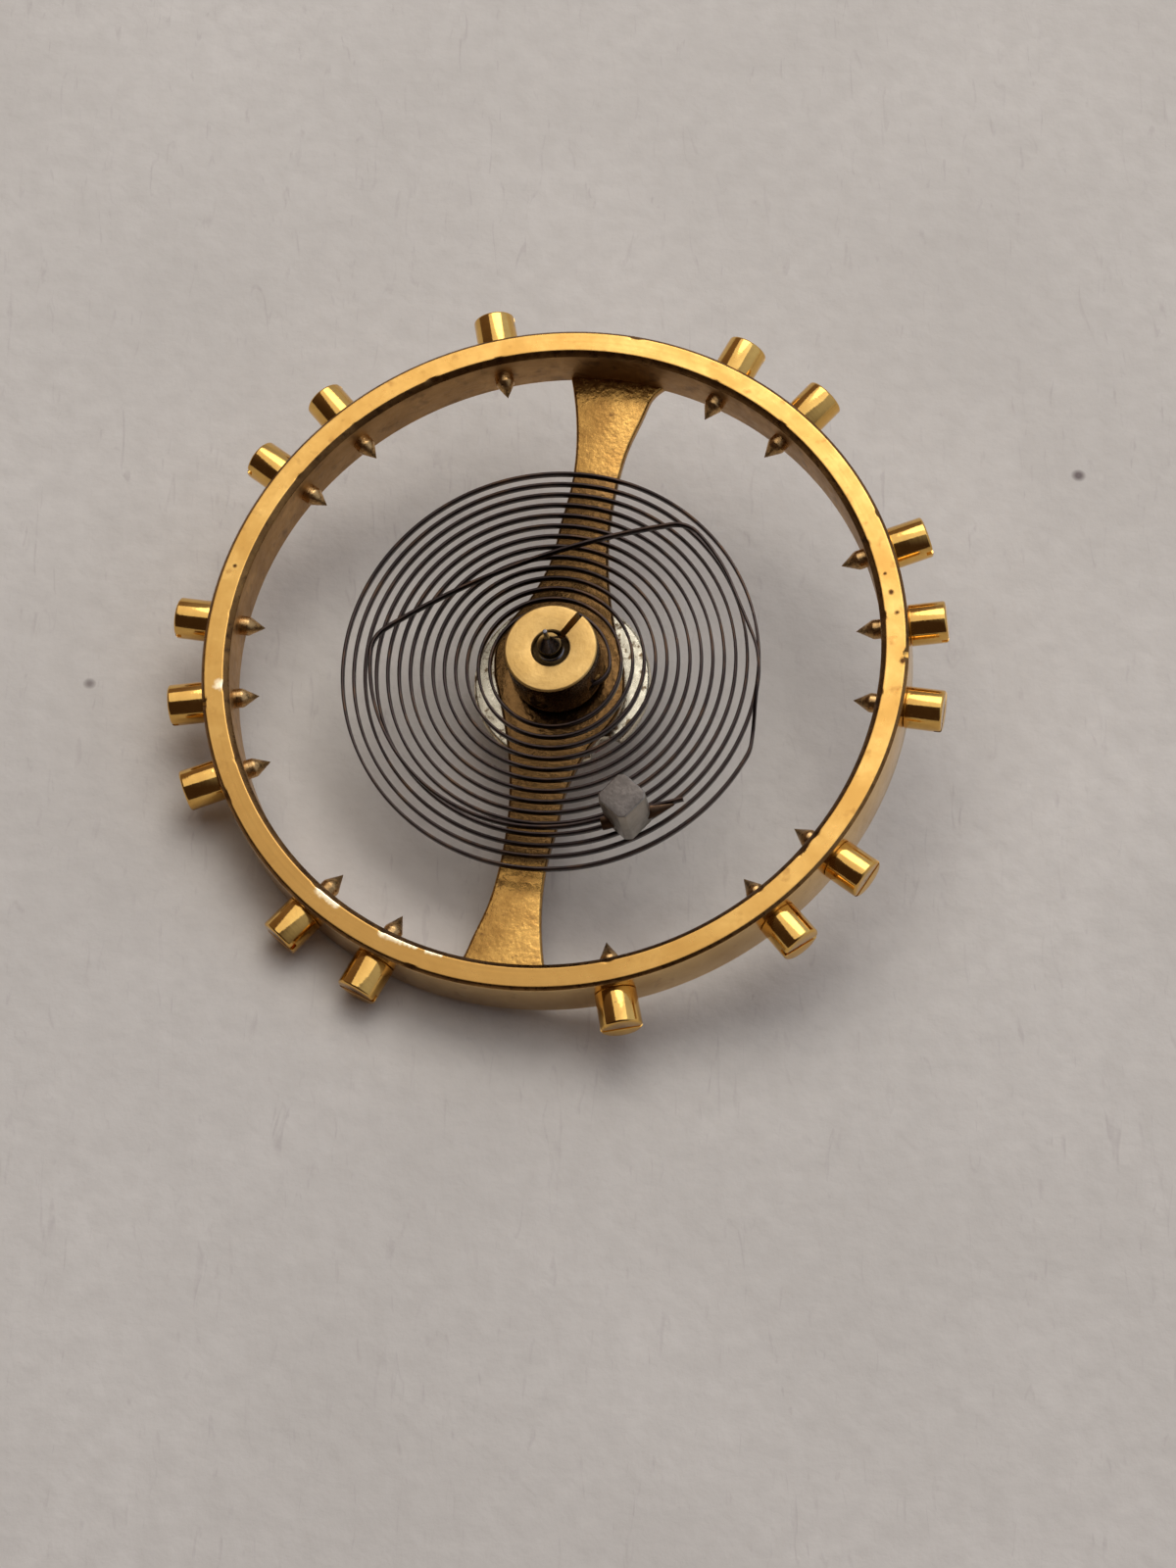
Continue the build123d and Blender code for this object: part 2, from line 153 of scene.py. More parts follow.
# Staff
PIVOT_RADIUS = 0.055
PIVOT_LENGTH = 0.35
CONE_LENGTH = 0.35
ARBOR_RADIUS = 0.27
ROLLER_SEAT_LEVEL = 1.0
ROLLER_SEAT = 0.30
ROLLER_TOP = 1.8
STAFF_HUB = 0.85
RIVET_RADIUS = 0.66
RIVET_HEIGHT = 0.06
COLLET_SEAT = 0.43
COLLET_LEVEL = 2.47
COLLET_HEIGHT = 1.25
COLLET_TOP = COLLET_LEVEL + COLLET_HEIGHT
SHOULDER_DROP = 0.15
UPPER_ARBOR = 0.25
UPPER_CONE_LEVEL = COLLET_TOP + UPPER_ARBOR
STAFF_TOP = UPPER_CONE_LEVEL + CONE_LENGTH + PIVOT_LENGTH
STAFF_SEGMENTS = 128

# Roller and jewel
ROLLER_RADIUS = 2.02
ROLLER_THICKNESS = 0.28
ROLLER_BOTTOM = ROLLER_TOP - ROLLER_THICKNESS
ROLLER_BEVEL = 0.05
ROLLER_HUB = 0.62
ROLLER_HUB_LENGTH = 0.50
ROLLER_CUT_OVERRUN = 0.2
ROLLER_SEGMENTS = 256
CRESCENT_RADIUS = 0.42
CRESCENT_CENTRE = 2.12
JEWEL_ANGLE = -60
JEWEL_RADIUS = 0.18
JEWEL_FLAT_SHARE = 0.5
JEWEL_CENTRE = 1.45
JEWEL_DROP = 0.75
JEWEL_BEVEL = 0.015
JEWEL_STEPS = 48

# Collet
COLLET_RADIUS = 1.06
COLLET_BEVEL = 0.04
COLLET_CORNER = 0.025
COLLET_CUT_EDGE = 0.014
FLANK_DEPTH = 0.05
COLLET_SLOT = 0.16
COLLET_SLOT_ANGLE = 50
COLLET_SLOT_OVERRUN = 0.4
COLLET_SLOT_CUT_HEIGHT = 2.0
COLLET_SEGMENTS = 192
HOLE_RADIUS = 0.16
HOLE_OFFSET = 0.78
HOLE_ANGLE = -72
HOLE_CUT_LENGTH = 3.0
COLLET_PIN_TAIL = 0.10
COLLET_PIN_RADII = (0.145, 0.155)

# Hairspring
STRIP_THICKNESS = 0.065
STRIP_HEIGHT = 0.18
STRIP_CORNER = 0.009
STRIP_OFFSET = HOLE_RADIUS / 2 - STRIP_THICKNESS / 2
SPRING_LEVEL = 2.90
OVERCOIL_LEVEL = 3.35
COIL_PITCH = 0.2585
HALF_TURNS = 28
FIRST_COIL_GAP = 0.304
FIRST_COIL_RADIUS = COLLET_RADIUS + FIRST_COIL_GAP
COIL_SHIFT = (-0.06, -0.08, 0.0)
INNER_BEND = 0.50
LAST_COIL_SPREAD = 0.04
RAMP_START_ANGLE = -26
RAMP_START_INSET = 0.045
RAMP_END_RADIUS = 2.40
RAMP_STEPS = 24
STRAIGHT_LENGTH = 1.90
OUTER_CURVE_ANGLE = 20
OUTER_CURVE_INSET = 0.58
FIRST_KNEE_ANGLE = 40
KNEE_RADIUS = 0.70
CROSSING_RADIUS = 16.0
INNER_CURVE_INSET = 0.744
SECOND_KNEE_ANGLE = 176
TAIL_LENGTH = 2.10
ROUTE_STEP = 0.1
ROUTE_TURN = 4

# Stud
STUD_WIDTH = 0.84
STUD_CORNER = 0.12
STUD_HEIGHT = 1.40
STUD_DROP = 0.26
STUD_FOOT = OVERCOIL_LEVEL - STUD_DROP
STUD_BEVEL = 0.03
STUD_TURN = 33
STUD_LINE_ANGLE = 282
STUD_DISTANCE = 0.83
STUD_OFFSET = 0.035
STUD_HOLE_RADIUS = 0.20
STUD_HOLE_OFFSET = STUD_HOLE_RADIUS / 2 - STRIP_THICKNESS / 2
STUD_HOLE_CUT_LENGTH = 2.4
STUD_PIN_BODY = 1.10
STUD_PIN_TAIL = 0.07
STUD_PIN_POINT = 0.50
STUD_PIN_TIP = 0.03
FLAT_CLEARANCE = 0.015
FLAT_GAP = STRIP_THICKNESS / 2 + FLAT_CLEARANCE

# How far apart two pieces lie in the noise that colours them, per step of their seeds
SEED_STEP = 0.37
SEEDS = 97

# Upward parts of a normal, under which a face is a wall or steep, and over which it is nearly
# level or level
WALL = 0.3
STEEP = 0.5
NEARLY_LEVEL = 0.9
LEVEL = 0.93

# The most of a side that the rounding of one corner takes, and a radius that counts as none
ROUNDING_SHARE = 0.4
ON_AXIS = 1e-9


# Geometry
def turned(angle, reach=1.0):
    """Point of the XY plane at an angle and a distance from the staff."""
    return np.array([math.cos(math.radians(angle)), math.sin(math.radians(angle)), 0.0]) * reach


def heading(vector):
    """Angle of a vector in the XY plane, from 0 to 360."""
    return math.degrees(math.atan2(vector[1], vector[0])) % 360


def rounded(points, radius, steps=3, closed=False):
    """Polyline of 2-D points with its corners rounded."""
    points = [np.array(p, float) for p in points]
    made = []
    for i, corner in enumerate(points):
        if not closed and i in (0, len(points) - 1):
            made.append(corner)
            continue
        before = points[i - 1] - corner
        after = points[(i + 1) % len(points)] - corner
        shorter = min(np.linalg.norm(before), np.linalg.norm(after))
        cut = min(radius, ROUNDING_SHARE * shorter)
        start = corner + before / np.linalg.norm(before) * cut
        end = corner + after / np.linalg.norm(after) * cut
        for step in range(steps + 1):
            t = step / steps
            made.append((1 - t) ** 2 * start + 2 * t * (1 - t) * corner + t * t * end)
    return made


def lathe(profile, segments, closed=False):
    """Vertices and faces of (radius, height) points turned about Z."""
    verts, faces, rows = [], [], []
    turn = 2 * np.pi * np.arange(segments) / segments
    for radius, height in profile:
        if radius < ON_AXIS:
            rows.append([len(verts)] * segments)
            verts.append((0.0, 0.0, height))
        else:
            rows.append(list(range(len(verts), len(verts) + segments)))
            verts += [(radius * math.cos(a), radius * math.sin(a), height) for a in turn]
    for low, high in list(zip(rows, rows[1:])) + ([(rows[-1], rows[0])] if closed else []):
        for k in range(segments):
            m = (k + 1) % segments
            face = list(dict.fromkeys((low[k], low[m], high[m], high[k])))
            if len(face) > 2:
                faces.append(tuple(face))
    return verts, faces


def prism(outline, low, high, holes=(), bevel=0.0, steps=2):
    """Vertices and faces of a closed outline between two heights, its edges rounded."""
    verts, faces = [], []

    def loop(points, height):
        verts.extend((p[0], p[1], height) for p in points)
        return list(range(len(verts) - len(points), len(verts)))

    def band(lower, upper):
        after = lower[1:] + lower[:1], upper[1:] + upper[:1]
        faces.extend(zip(lower, after[0], after[1], upper))

    ends = ([], [])
    for points, sign in [(outline, 1)] + [(h, -1) for h in holes]:
        points = np.array([p[:2] for p in points], float)
        ahead = np.roll(points, -1, 0) - points
        ahead /= np.linalg.norm(ahead, axis=1)[:, None]
        normal = ahead + np.roll(ahead, 1, 0)
        normal = np.stack([normal[:, 1], -normal[:, 0]], 1)
        normal *= sign / np.linalg.norm(normal, axis=1)[:, None]
        turns = [math.pi / 2 * i / steps for i in range(steps + 1)] if bevel else [math.pi / 2]
        rings = []
        for a in turns:
            rings.append((bevel * (1 - math.sin(a)), low + bevel * (1 - math.cos(a))))
        for a in reversed(turns):
            rings.append((bevel * (1 - math.sin(a)), high - bevel * (1 - math.cos(a))))
        loops = [loop(points - normal * inset, height) for inset, height in rings]
        for lower, upper in zip(loops, loops[1:]):
            band(*((lower, upper) if sign > 0 else (upper, lower)))
        ends[0].append(loops[0])
        ends[1].append(loops[-1])
    mesh = bmesh.new()
    made = [mesh.verts.new(v) for v in verts]
    for loops in ends:
        edges = []
        for ids in loops:
            edges += [mesh.edges.new((made[a], made[b])) for a, b in zip(ids, ids[1:] + ids[:1])]
        bmesh.ops.triangle_fill(mesh, use_beauty=True, use_dissolve=False, edges=edges)
    mesh.verts.index_update()
    faces += [tuple(v.index for v in f.verts) for f in mesh.faces]
    mesh.free()
    return verts, faces


def circle(centre, radius, segments=64):
    """Points of a level circle."""
    return [centre + turned(360 * k / segments, radius) for k in range(segments)]


def smooth_curve(points, steps, ends=None):
    """Cubic spline through 2-D points by chord length, with its end directions set if given."""
    points = np.array(points, float)
    n = len(points)
    knots = np.concatenate([[0], np.cumsum(np.linalg.norm(np.diff(points, axis=0), axis=1))])
    h = np.diff(knots)
    rows, right = np.zeros((n, n)), np.zeros((n, 2))
    for i in range(1, n - 1):
        rows[i, i - 1 : i + 2] = h[i - 1], 2 * (h[i - 1] + h[i]), h[i]
        slopes = (points[i + 1] - points[i]) / h[i] - (points[i] - points[i - 1]) / h[i - 1]
        right[i] = 6 * slopes
    rows[0, 0] = rows[-1, -1] = 1
    if ends is not None:
        rows[0, :2] = 2 * h[0], h[0]
        right[0] = 6 * ((points[1] - points[0]) / h[0] - np.array(ends[0]))
        rows[-1, -2:] = h[-1], 2 * h[-1]
        right[-1] = 6 * (np.array(ends[1]) - (points[-1] - points[-2]) / h[-1])
    bend = np.linalg.solve(rows, right)
    made = []
    for t in np.linspace(0, knots[-1], steps):
        i = min(np.searchsorted(knots, t, side="right") - 1, n - 2)
        a, b = (knots[i + 1] - t) / h[i], (t - knots[i]) / h[i]
        curve = (a**3 - a) * bend[i] + (b**3 - b) * bend[i + 1]
        made.append(a * points[i] + b * points[i + 1] + curve * h[i] ** 2 / 6)
    return made


def new_mesh(name, verts, faces):
    """Object of vertices and faces, with its faces turned outwards."""
    mesh = bpy.data.meshes.new(name)
    mesh.from_pydata([tuple(v) for v in verts], [], faces)
    mesh.validate()
    work = bmesh.new()
    work.from_mesh(mesh)
    bmesh.ops.recalc_face_normals(work, faces=work.faces)
    work.to_mesh(mesh)
    work.free()
    obj = bpy.data.objects.new(name, mesh)
    bpy.context.scene.collection.objects.link(obj)
    return obj


def apply_modifiers(obj):
    """Gives an object the mesh that its modifiers make."""
    bpy.context.view_layer.update()
    graph = bpy.context.evaluated_depsgraph_get()
    mesh = bpy.data.meshes.new_from_object(obj.evaluated_get(graph), depsgraph=graph)
    obj.modifiers.clear()
    obj.data = mesh


def cut(obj, *cutters):
    """Cuts closed shapes out of a piece."""
    for verts, faces in cutters:
        tool = new_mesh("cutter", verts, faces)
        modifier = obj.modifiers.new("cut", "BOOLEAN")
        modifier.operation = "DIFFERENCE"
        modifier.solver = "EXACT"
        modifier.object = tool
        apply_modifiers(obj)
        bpy.data.objects.remove(tool)


def soften(obj, width, angle=35):
    """Rounds the sharp edges that a cut leaves."""
    modifier = obj.modifiers.new("soften", "BEVEL")
    modifier.width = width
    modifier.segments = 2
    modifier.limit_method = "ANGLE"
    modifier.angle_limit = math.radians(angle)
    modifier.use_clamp_overlap = True
    apply_modifiers(obj)


def box_shape(centre, way, sizes):
    """Closed upright box about a centre: its length along a level way, its width and height."""
    axes = (way, np.cross(UP, way), UP)
    x_side, y_side, z_side = (axis * size for axis, size in zip(axes, sizes))
    halves = (-0.5, 0.5)
    verts = [
        centre + x_side * i + y_side * j + z_side * k
        for i in halves
        for j in halves
        for k in halves
    ]
    faces = [(0, 1, 3, 2), (4, 6, 7, 5), (0, 4, 5, 1), (2, 3, 7, 6), (0, 2, 6, 4), (1, 5, 7, 3)]
    return verts, faces


def rod_shape(middle, direction, length, radius):
    """Closed round rod along a level direction."""
    start = middle - direction * length / 2
    side = np.cross(direction, UP)
    verts, faces = lathe(((0, 0), (radius, 0), (radius, length), (0, length)), ROD_SEGMENTS)
    verts = [start + side * x + UP * y + direction * z for x, y, z in verts]
    return verts, faces


def piece(obj, body, node, materials, place=None, pick=None, smooth=40):
    """Finishes a piece: its own coordinates for the materials, its place, shading and body."""
    mesh = obj.data
    own = mesh.attributes.new("local", "FLOAT_VECTOR", "POINT")
    points = np.array([v.co for v in mesh.vertices], float).reshape(-1, 3)
    seed = sum(ord(c) * (i + 1) for i, c in enumerate(obj.name)) % SEEDS
    local = points * MM + UP * seed * SEED_STEP * MM
    own.data.foreach_set("vector", local.astype(np.float32).ravel())
    if place is not None:
        mesh.transform(place)
    mesh.transform(Matrix.Scale(MM, 4))
    mesh.materials.clear()
    for material in materials:
        mesh.materials.append(material)
    if pick:
        for polygon in mesh.polygons:
            polygon.material_index = pick(polygon.center / MM, polygon.normal)
    mesh.shade_smooth()
    mesh.set_sharp_from_angle(angle=math.radians(smooth))
    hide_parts(node)
    if body:
        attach(obj, body)
    return obj


# Materials. Noise lies mostly within these values, and seldom outside the wide ones.
MIDDLE = (0.35, 0.65)
WIDE = (0.3, 0.7)
# How much tool lines vary along themselves
LINE_DRIFT = 2.0
# A spot's unevenness: its scale, and its reach and the edge's fade as shares of the radius
SPOT_SCALE = 9.0
SPOT_RAGGED = 0.3
SPOT_FADE = 0.5


class Nodes:
    """A node tree, with short calls for the nodes that are used here."""

    def __init__(self, tree):
        self.tree = tree

    def node(self, kind, inputs=(), **settings):
        made = self.tree.nodes.new("ShaderNode" + kind)
        for name, value in settings.items():
            setattr(made, name, value)
        for socket, value in dict(inputs).items():
            self.fill(made.inputs[socket], value)
        return made

    def fill(self, socket, value):
        """Links a socket to an output, or sets its value."""
        if isinstance(value, bpy.types.NodeSocket):
            self.tree.links.new(value, socket)
        else:
            socket.default_value = value

    def math(self, operation, a, b):
        return self.node("Math", {0: a, 1: b}, operation=operation).outputs[0]

    def between(self, value, low, high, to_low=0.0, to_high=1.0, curve="LINEAR"):
        """A value's place in a range, as a place in another, clamped."""
        inputs = {"Value": value, "From Min": low, "From Max": high}
        inputs.update({"To Min": to_low, "To Max": to_high})
        return self.node("MapRange", inputs, interpolation_type=curve).outputs["Result"]

    def mix(self, factor, a, b):
        """Colour a where the factor is 0 and b where it is 1."""
        made = self.node("Mix", {0: factor}, data_type="RGBA")
        for socket, value in ((6, a), (7, b)):
            self.fill(made.inputs[socket], (*value, 1.0) if isinstance(value, tuple) else value)
        return made.outputs[2]


class Shader(Nodes):
    """The node tree of one material, built around its Principled shader."""

    def __init__(self, name, **sockets):
        self.material = bpy.data.materials.new(name)
        self.material.use_nodes = True
        super().__init__(self.material.node_tree)
        self.surface = self.tree.nodes["Principled BSDF"]
        for socket, value in sockets.items():
            self.surface.inputs[socket.replace("_", " ")].default_value = value
        self.local = self.node("Attribute", attribute_name="local").outputs["Vector"]

    def noise(self, scale, detail=3.0, vector=None, w=None, distortion=0.0):
        """Noise over the piece, with its scale in features per millimetre."""
        inputs = {"Vector": vector or self.local, "Scale": scale / MM, "Detail": detail}
        inputs["Distortion"] = distortion
        if w is not None:
            inputs["W"] = w
        dimensions = "3D" if w is None else "4D"
        return self.node("TexNoise", inputs, noise_dimensions=dimensions).outputs[0]

    def flat(self):
        """The piece's own coordinates without their height, and the height."""
        parts = self.node("SeparateXYZ", {0: self.local}).outputs
        return self.node("CombineXYZ", {0: parts[0], 1: parts[1]}).outputs[0], parts[2]

    def apart(self, flat, x, y):
        """Distance in the plane from a point given in millimetres."""
        inputs = {0: flat, 1: (x * MM, y * MM, 0)}
        return self.node("VectorMath", inputs, operation="DISTANCE").outputs["Value"]

    def lathe_lines(self, fine):
        """Noise of fine rings about the piece's own axis, as a lathe tool leaves."""
        flat, height = self.flat()
        radius = self.node("VectorMath", {0: flat}, operation="LENGTH").outputs["Value"]
        ahead = self.node("VectorMath", {0: flat}, operation="NORMALIZE").outputs[0]
        drifting = {0: ahead, "Scale": LINE_DRIFT}
        ahead = self.node("VectorMath", drifting, operation="SCALE").outputs[0]
        across = self.node("CombineXYZ", {2: self.math("MULTIPLY", height, fine / MM)}).outputs[0]
        where = self.node("VectorMath", {0: ahead, 1: across}, operation="ADD").outputs[0]
        return self.noise(MM, 2.0, where, self.math("MULTIPLY", radius, fine / MM))

    def spots(self, places):
        """Share of small uneven spots, each (x, y, radius) in millimetres, seen from above."""
        total = 0.0
        flat, _ = self.flat()
        ragged = self.between(self.noise(SPOT_SCALE), *WIDE, -SPOT_RAGGED, SPOT_RAGGED)
        for x, y, radius in places:
            share = self.math("DIVIDE", self.apart(flat, x, y), radius * MM)
            inside = self.between(self.math("ADD", share, ragged), 1 + SPOT_FADE, 1 - SPOT_FADE)
            total = self.math("MAXIMUM", total, inside)
        return total

    def bump(self, height, depth, normal=None):
        """Bump of a depth in millimetres."""
        inputs = {"Height": height, "Distance": depth * MM}
        if normal is not None:
            inputs["Normal"] = normal
        return self.node("Bump", inputs).outputs["Normal"]

    def finish(self, **links):
        """Links values to the Principled shader's sockets, and gives the material."""
        for socket, value in links.items():
            self.tree.links.new(value, self.surface.inputs[socket.replace("_", " ")])
        return self.material


# Scales of a metal's clouds, stains and gloss, as multiples of the scale of its patches
CLOUD_SCALE = 4.2
STAIN_SCALE = 3.1
GLOSS_SCALE = 5.0
BARE_BRASS_GLINT = (1.0, 0.87, 0.60)
PIT_BROWN = (0.08, 0.035, 0.012)


def metal(
    name, light, dark, stain, roughness, *, grain, patches=0.9, stains=(0.62, 0.78), lines=None,
    wear_glints=(), pits=(), painted_shade=None,
):
    """A metal with drifting tone, stains, fine grain, tool lines, worn spots with painted glints,
    and a zone of painted shade.

    grain and lines are a scale and a depth, wear_glints and pits are spots seen from above, and
    painted_shade is the middle of the painted shade, the distances where it starts and is full,
    its colour and its share.
    """
    make = Shader(name, Metallic=1.0)
    tone = make.between(make.noise(patches, 4.0, distortion=0.4), *MIDDLE)
    colour = make.mix(tone, dark, light)
    cloud = make.noise(patches * CLOUD_SCALE, 3.0, distortion=0.8)
    colour = make.mix(make.between(cloud, 0.40, 0.70, 0.0, 0.5), colour, dark)
    spots = make.between(make.noise(patches * STAIN_SCALE, 5.0), *stains)
    colour = make.mix(spots, colour, stain)
    # Painted shade: within a circle the colour turns towards a dark colour
    if painted_shade:
        middle, outside, inside, shade_colour, share = painted_shade
        flat, _ = make.flat()
        shaded = make.between(make.apart(flat, *middle), outside * MM, inside * MM)
        colour = make.mix(make.math("MULTIPLY", shaded, share), colour, shade_colour)
    height = make.noise(grain[0], 4.0)
    rough = make.between(make.noise(patches * GLOSS_SCALE, 4.0), *WIDE, *roughness)
    normal = make.bump(height, grain[1])
    if lines:
        rings = make.lathe_lines(lines[0])
        colour = make.mix(make.between(rings, 0.30, 0.75, 0.0, 0.25), colour, dark)
        normal = make.bump(rings, lines[1], normal=normal)
    # Worn spots of pale bare brass, which also serve as painted glints
    if wear_glints:
        colour = make.mix(make.spots(wear_glints), colour, BARE_BRASS_GLINT)
    if pits:
        colour = make.mix(make.spots(pits), colour, PIT_BROWN)
    return make.finish(Base_Color=colour, Roughness=rough, Normal=normal)


WEAR_GLINT_RADIUS = 7.49
STROKE_STEPS = 7


def on_rim(angle, radius, size):
    """A spot of a size on the rim's top face."""
    x, y, _ = turned(angle, radius)
    return x, y, size


def wear_glint_stroke(first, last, wide, narrow):
    """Worn spots with painted glints in a row beside the rim's inner edge, between two angles, that grow
    narrow.
    """
    shares = [step / STROKE_STEPS for step in range(STROKE_STEPS + 1)]
    return [
        on_rim(first + (last - first) * share, WEAR_GLINT_RADIUS, wide + (narrow - wide) * share)
        for share in shares
    ]


# Wear on the rim's top face by its inner edge: pale spots that are also painted glints
RIM_WEAR_GLINTS = (
    on_rim(183.0, 7.57, 0.11),
    *wear_glint_stroke(226.6, 230.4, 0.10, 0.085),
    *wear_glint_stroke(240.4, 246.2, 0.10, 0.06),
    *wear_glint_stroke(248.6, 251.0, 0.055, 0.04),
)
RIM_PITS = (
    on_rim(7.7, 7.70, 0.055),
    on_rim(3.9, 7.76, 0.050),
    on_rim(11.2, 7.65, 0.040),
    on_rim(355.4, 7.88, 0.070),
    on_rim(161.0, 7.70, 0.045),
)

# Rim top: painted shade darkens it towards the lower left, where less light falls
rim_top = metal(
    "rim_top_brass",
    (0.82, 0.51, 0.155), (0.62, 0.345, 0.088), (0.38, 0.175, 0.045), (0.26, 0.36),
    stains=(0.60, 0.80), grain=(4.0, 0.0024), lines=(14.0, 0.0014), wear_glints=RIM_WEAR_GLINTS, pits=RIM_PITS,
    painted_shade=((-3.5, -6.5), 11.0, 4.0, (0.40, 0.22, 0.062), 0.85),
)
rim_side = metal(
    "rim_side_brass",
    (0.88, 0.62, 0.29), (0.72, 0.47, 0.19), (0.42, 0.24, 0.09), (0.14, 0.26),
    stains=(0.64, 0.82), grain=(8.0, 0.001), lines=(14.0, 0.001),
)
rim_inside = metal(
    "rim_inside_brass",
    (0.62, 0.37, 0.15), (0.42, 0.24, 0.09), (0.17, 0.09, 0.04), (0.36, 0.52),
    stains=(0.55, 0.80), grain=(14.0, 0.006), lines=(9.0, 0.006),
)
# Rim bevels: painted dark brown, a painted reflection of the dark room
rim_bevel_shade = metal(
    "rim_edge_brass",
    (0.30, 0.16, 0.055), (0.17, 0.085, 0.03), (0.06, 0.03, 0.015), (0.22, 0.40),
    patches=1.4, stains=(0.56, 0.76), grain=(12.0, 0.004),
)
# Arms: within the hairspring's reach they are painted dark brown, a painted shadow and reflection of the
# coils
arm_face = metal(
    "arm_brass",
    (0.54, 0.31, 0.085), (0.34, 0.18, 0.048), (0.16, 0.075, 0.025), (0.16, 0.30),
    patches=1.6, stains=(0.60, 0.80), grain=(9.0, 0.011),
    painted_shade=((-0.10, 0.17), 4.93, 4.73, (0.135, 0.072, 0.028), 0.90),
)
screw_brass = metal(
    "screw_brass",
    (0.84, 0.52, 0.145), (0.70, 0.41, 0.11), (0.28, 0.14, 0.05), (0.07, 0.15),
    patches=1.8, stains=(0.68, 0.84), grain=(10.0, 0.001), lines=(18.0, 0.0016),
)
screw_point = metal(
    "screw_point_brass",
    (0.64, 0.41, 0.18), (0.42, 0.25, 0.10), (0.10, 0.055, 0.028), (0.20, 0.36),
    patches=3.0, stains=(0.55, 0.75), grain=(14.0, 0.004), lines=(20.0, 0.004),
)
collet_top = metal(
    "collet_top_brass",
    (0.70, 0.46, 0.17), (0.60, 0.375, 0.125), (0.40, 0.22, 0.07), (0.40, 0.50),
    patches=1.8, stains=(0.68, 0.86), grain=(16.0, 0.003), lines=(18.0, 0.002),
)
# Collet flank: painted dark, a painted shade and reflection of the shaded hub below it
shaded_collet_flank = metal(
    "collet_flank_brass",
    (0.24, 0.135, 0.055), (0.12, 0.065, 0.028), (0.04, 0.02, 0.012), (0.20, 0.36),
    patches=1.8, stains=(0.55, 0.78), grain=(16.0, 0.004), lines=(18.0, 0.003),
)
pin_brass = metal(
    "pin_brass",
    (0.11, 0.064, 0.036), (0.065, 0.038, 0.023), (0.04, 0.025, 0.018), (0.34, 0.50),
    patches=3.0, grain=(16.0, 0.004),
)
staff_steel = metal(
    "staff_steel",
    (0.24, 0.24, 0.26), (0.13, 0.13, 0.15), (0.05, 0.045, 0.045), (0.10, 0.20),
    patches=2.0, stains=(0.66, 0.84), grain=(14.0, 0.0015), lines=(22.0, 0.0016),
)
roller_steel = metal(
    "roller_steel",
    (0.94, 0.88, 0.70), (0.66, 0.60, 0.46), (0.20, 0.14, 0.08), (0.22, 0.36),
    patches=1.9, stains=(0.56, 0.66), grain=(4.0, 0.003),
)
stud_top = metal(
    "stud_top_steel",
    (0.170, 0.148, 0.134), (0.126, 0.11, 0.099), (0.06, 0.055, 0.05), (0.42, 0.55),
    patches=2.6, stains=(0.66, 0.84), grain=(15.0, 0.005),
)
stud_side = metal(
    "stud_side_steel",
    (0.52, 0.49, 0.44), (0.40, 0.38, 0.34), (0.20, 0.17, 0.14), (0.30, 0.44),
    patches=2.6, stains=(0.66, 0.84), grain=(15.0, 0.004),
)
blued_steel = metal(
    "blued_steel",
    (0.060, 0.044, 0.040), (0.032, 0.024, 0.023), (0.095, 0.055, 0.034), (0.26, 0.40),
    patches=0.6, stains=(0.52, 0.75), grain=(20.0, 0.001),
)


def ruby_material():
    """Clear red stone, polished."""
    make = Shader("ruby", Metallic=0.0, IOR=1.76, Transmission_Weight=0.75)
    cloud = make.between(make.noise(2.5), *MIDDLE)
    colour = make.mix(cloud, (0.62, 0.02, 0.07), (0.80, 0.05, 0.12))
    rough = make.between(make.noise(9.0, 2.0), *WIDE, 0.02, 0.07)
    normal = make.bump(make.noise(12.0), 0.0008)
    return make.finish(Base_Color=colour, Roughness=rough, Normal=normal)


ruby = ruby_material()


# Rim and arms
def rim_mesh():
    """The turned rim, with small nicks along the edges of its top face."""
    profile = (
        (RIM_INNER, ARM_LEVEL + INNER_BEVEL),
        (RIM_INNER + INNER_BEVEL, ARM_LEVEL),
        (RIM_OUTER - OUTER_BEVEL, ARM_LEVEL),
        (RIM_OUTER, ARM_LEVEL + OUTER_BEVEL),
        (RIM_OUTER, RIM_TOP - OUTER_BEVEL),
        (RIM_OUTER - OUTER_BEVEL, RIM_TOP),
        (RIM_OUTER - OUTER_BEVEL - EDGE_STRIP, RIM_TOP),
        (RIM_INNER + INNER_BEVEL + EDGE_STRIP, RIM_TOP),
        (RIM_INNER + INNER_BEVEL, RIM_TOP),
        (RIM_INNER, RIM_TOP - INNER_BEVEL),
    )
    profile = rounded(profile, FINE_CORNER, 2, closed=True)
    verts, faces = lathe(profile, RIM_SEGMENTS, closed=True)
    verts = np.array(verts)
    angle = np.degrees(np.arctan2(verts[:, 1], verts[:, 0]))
    radius = np.hypot(verts[:, 0], verts[:, 1])
    top = verts[:, 2] > RIM_TOP - NICK_BAND
    inner_edge = top & (np.abs(radius - RIM_INNER - INNER_BEVEL) < NICK_REACH)
    outer_edge = top & (np.abs(radius - RIM_OUTER + OUTER_BEVEL) < NICK_REACH)
    nicks = [
        (screw_angle + half_turn, True, half_width, depth)
        for first, half_width, depth in SCREW_NICKS
        for screw_angle in SCREW_ANGLES[first::2]
        for half_turn in (0, 180)
    ]
    for at, inner, half_width, depth in (*nicks, *NICKS):
        away = (angle - at + 180) % 360 - 180
        share = np.clip(1 - (np.radians(away) * radius / half_width) ** 2, 0, 1) ** 2
        edge = inner_edge if inner else outer_edge
        shift = np.where(edge, depth * share, 0.0) * (1 if inner else -1)
        verts[:, :2] += verts[:, :2] / radius[:, None] * shift[:, None]
        verts[:, 2] -= np.abs(shift) * NICK_DROP_SHARE
    return verts, faces


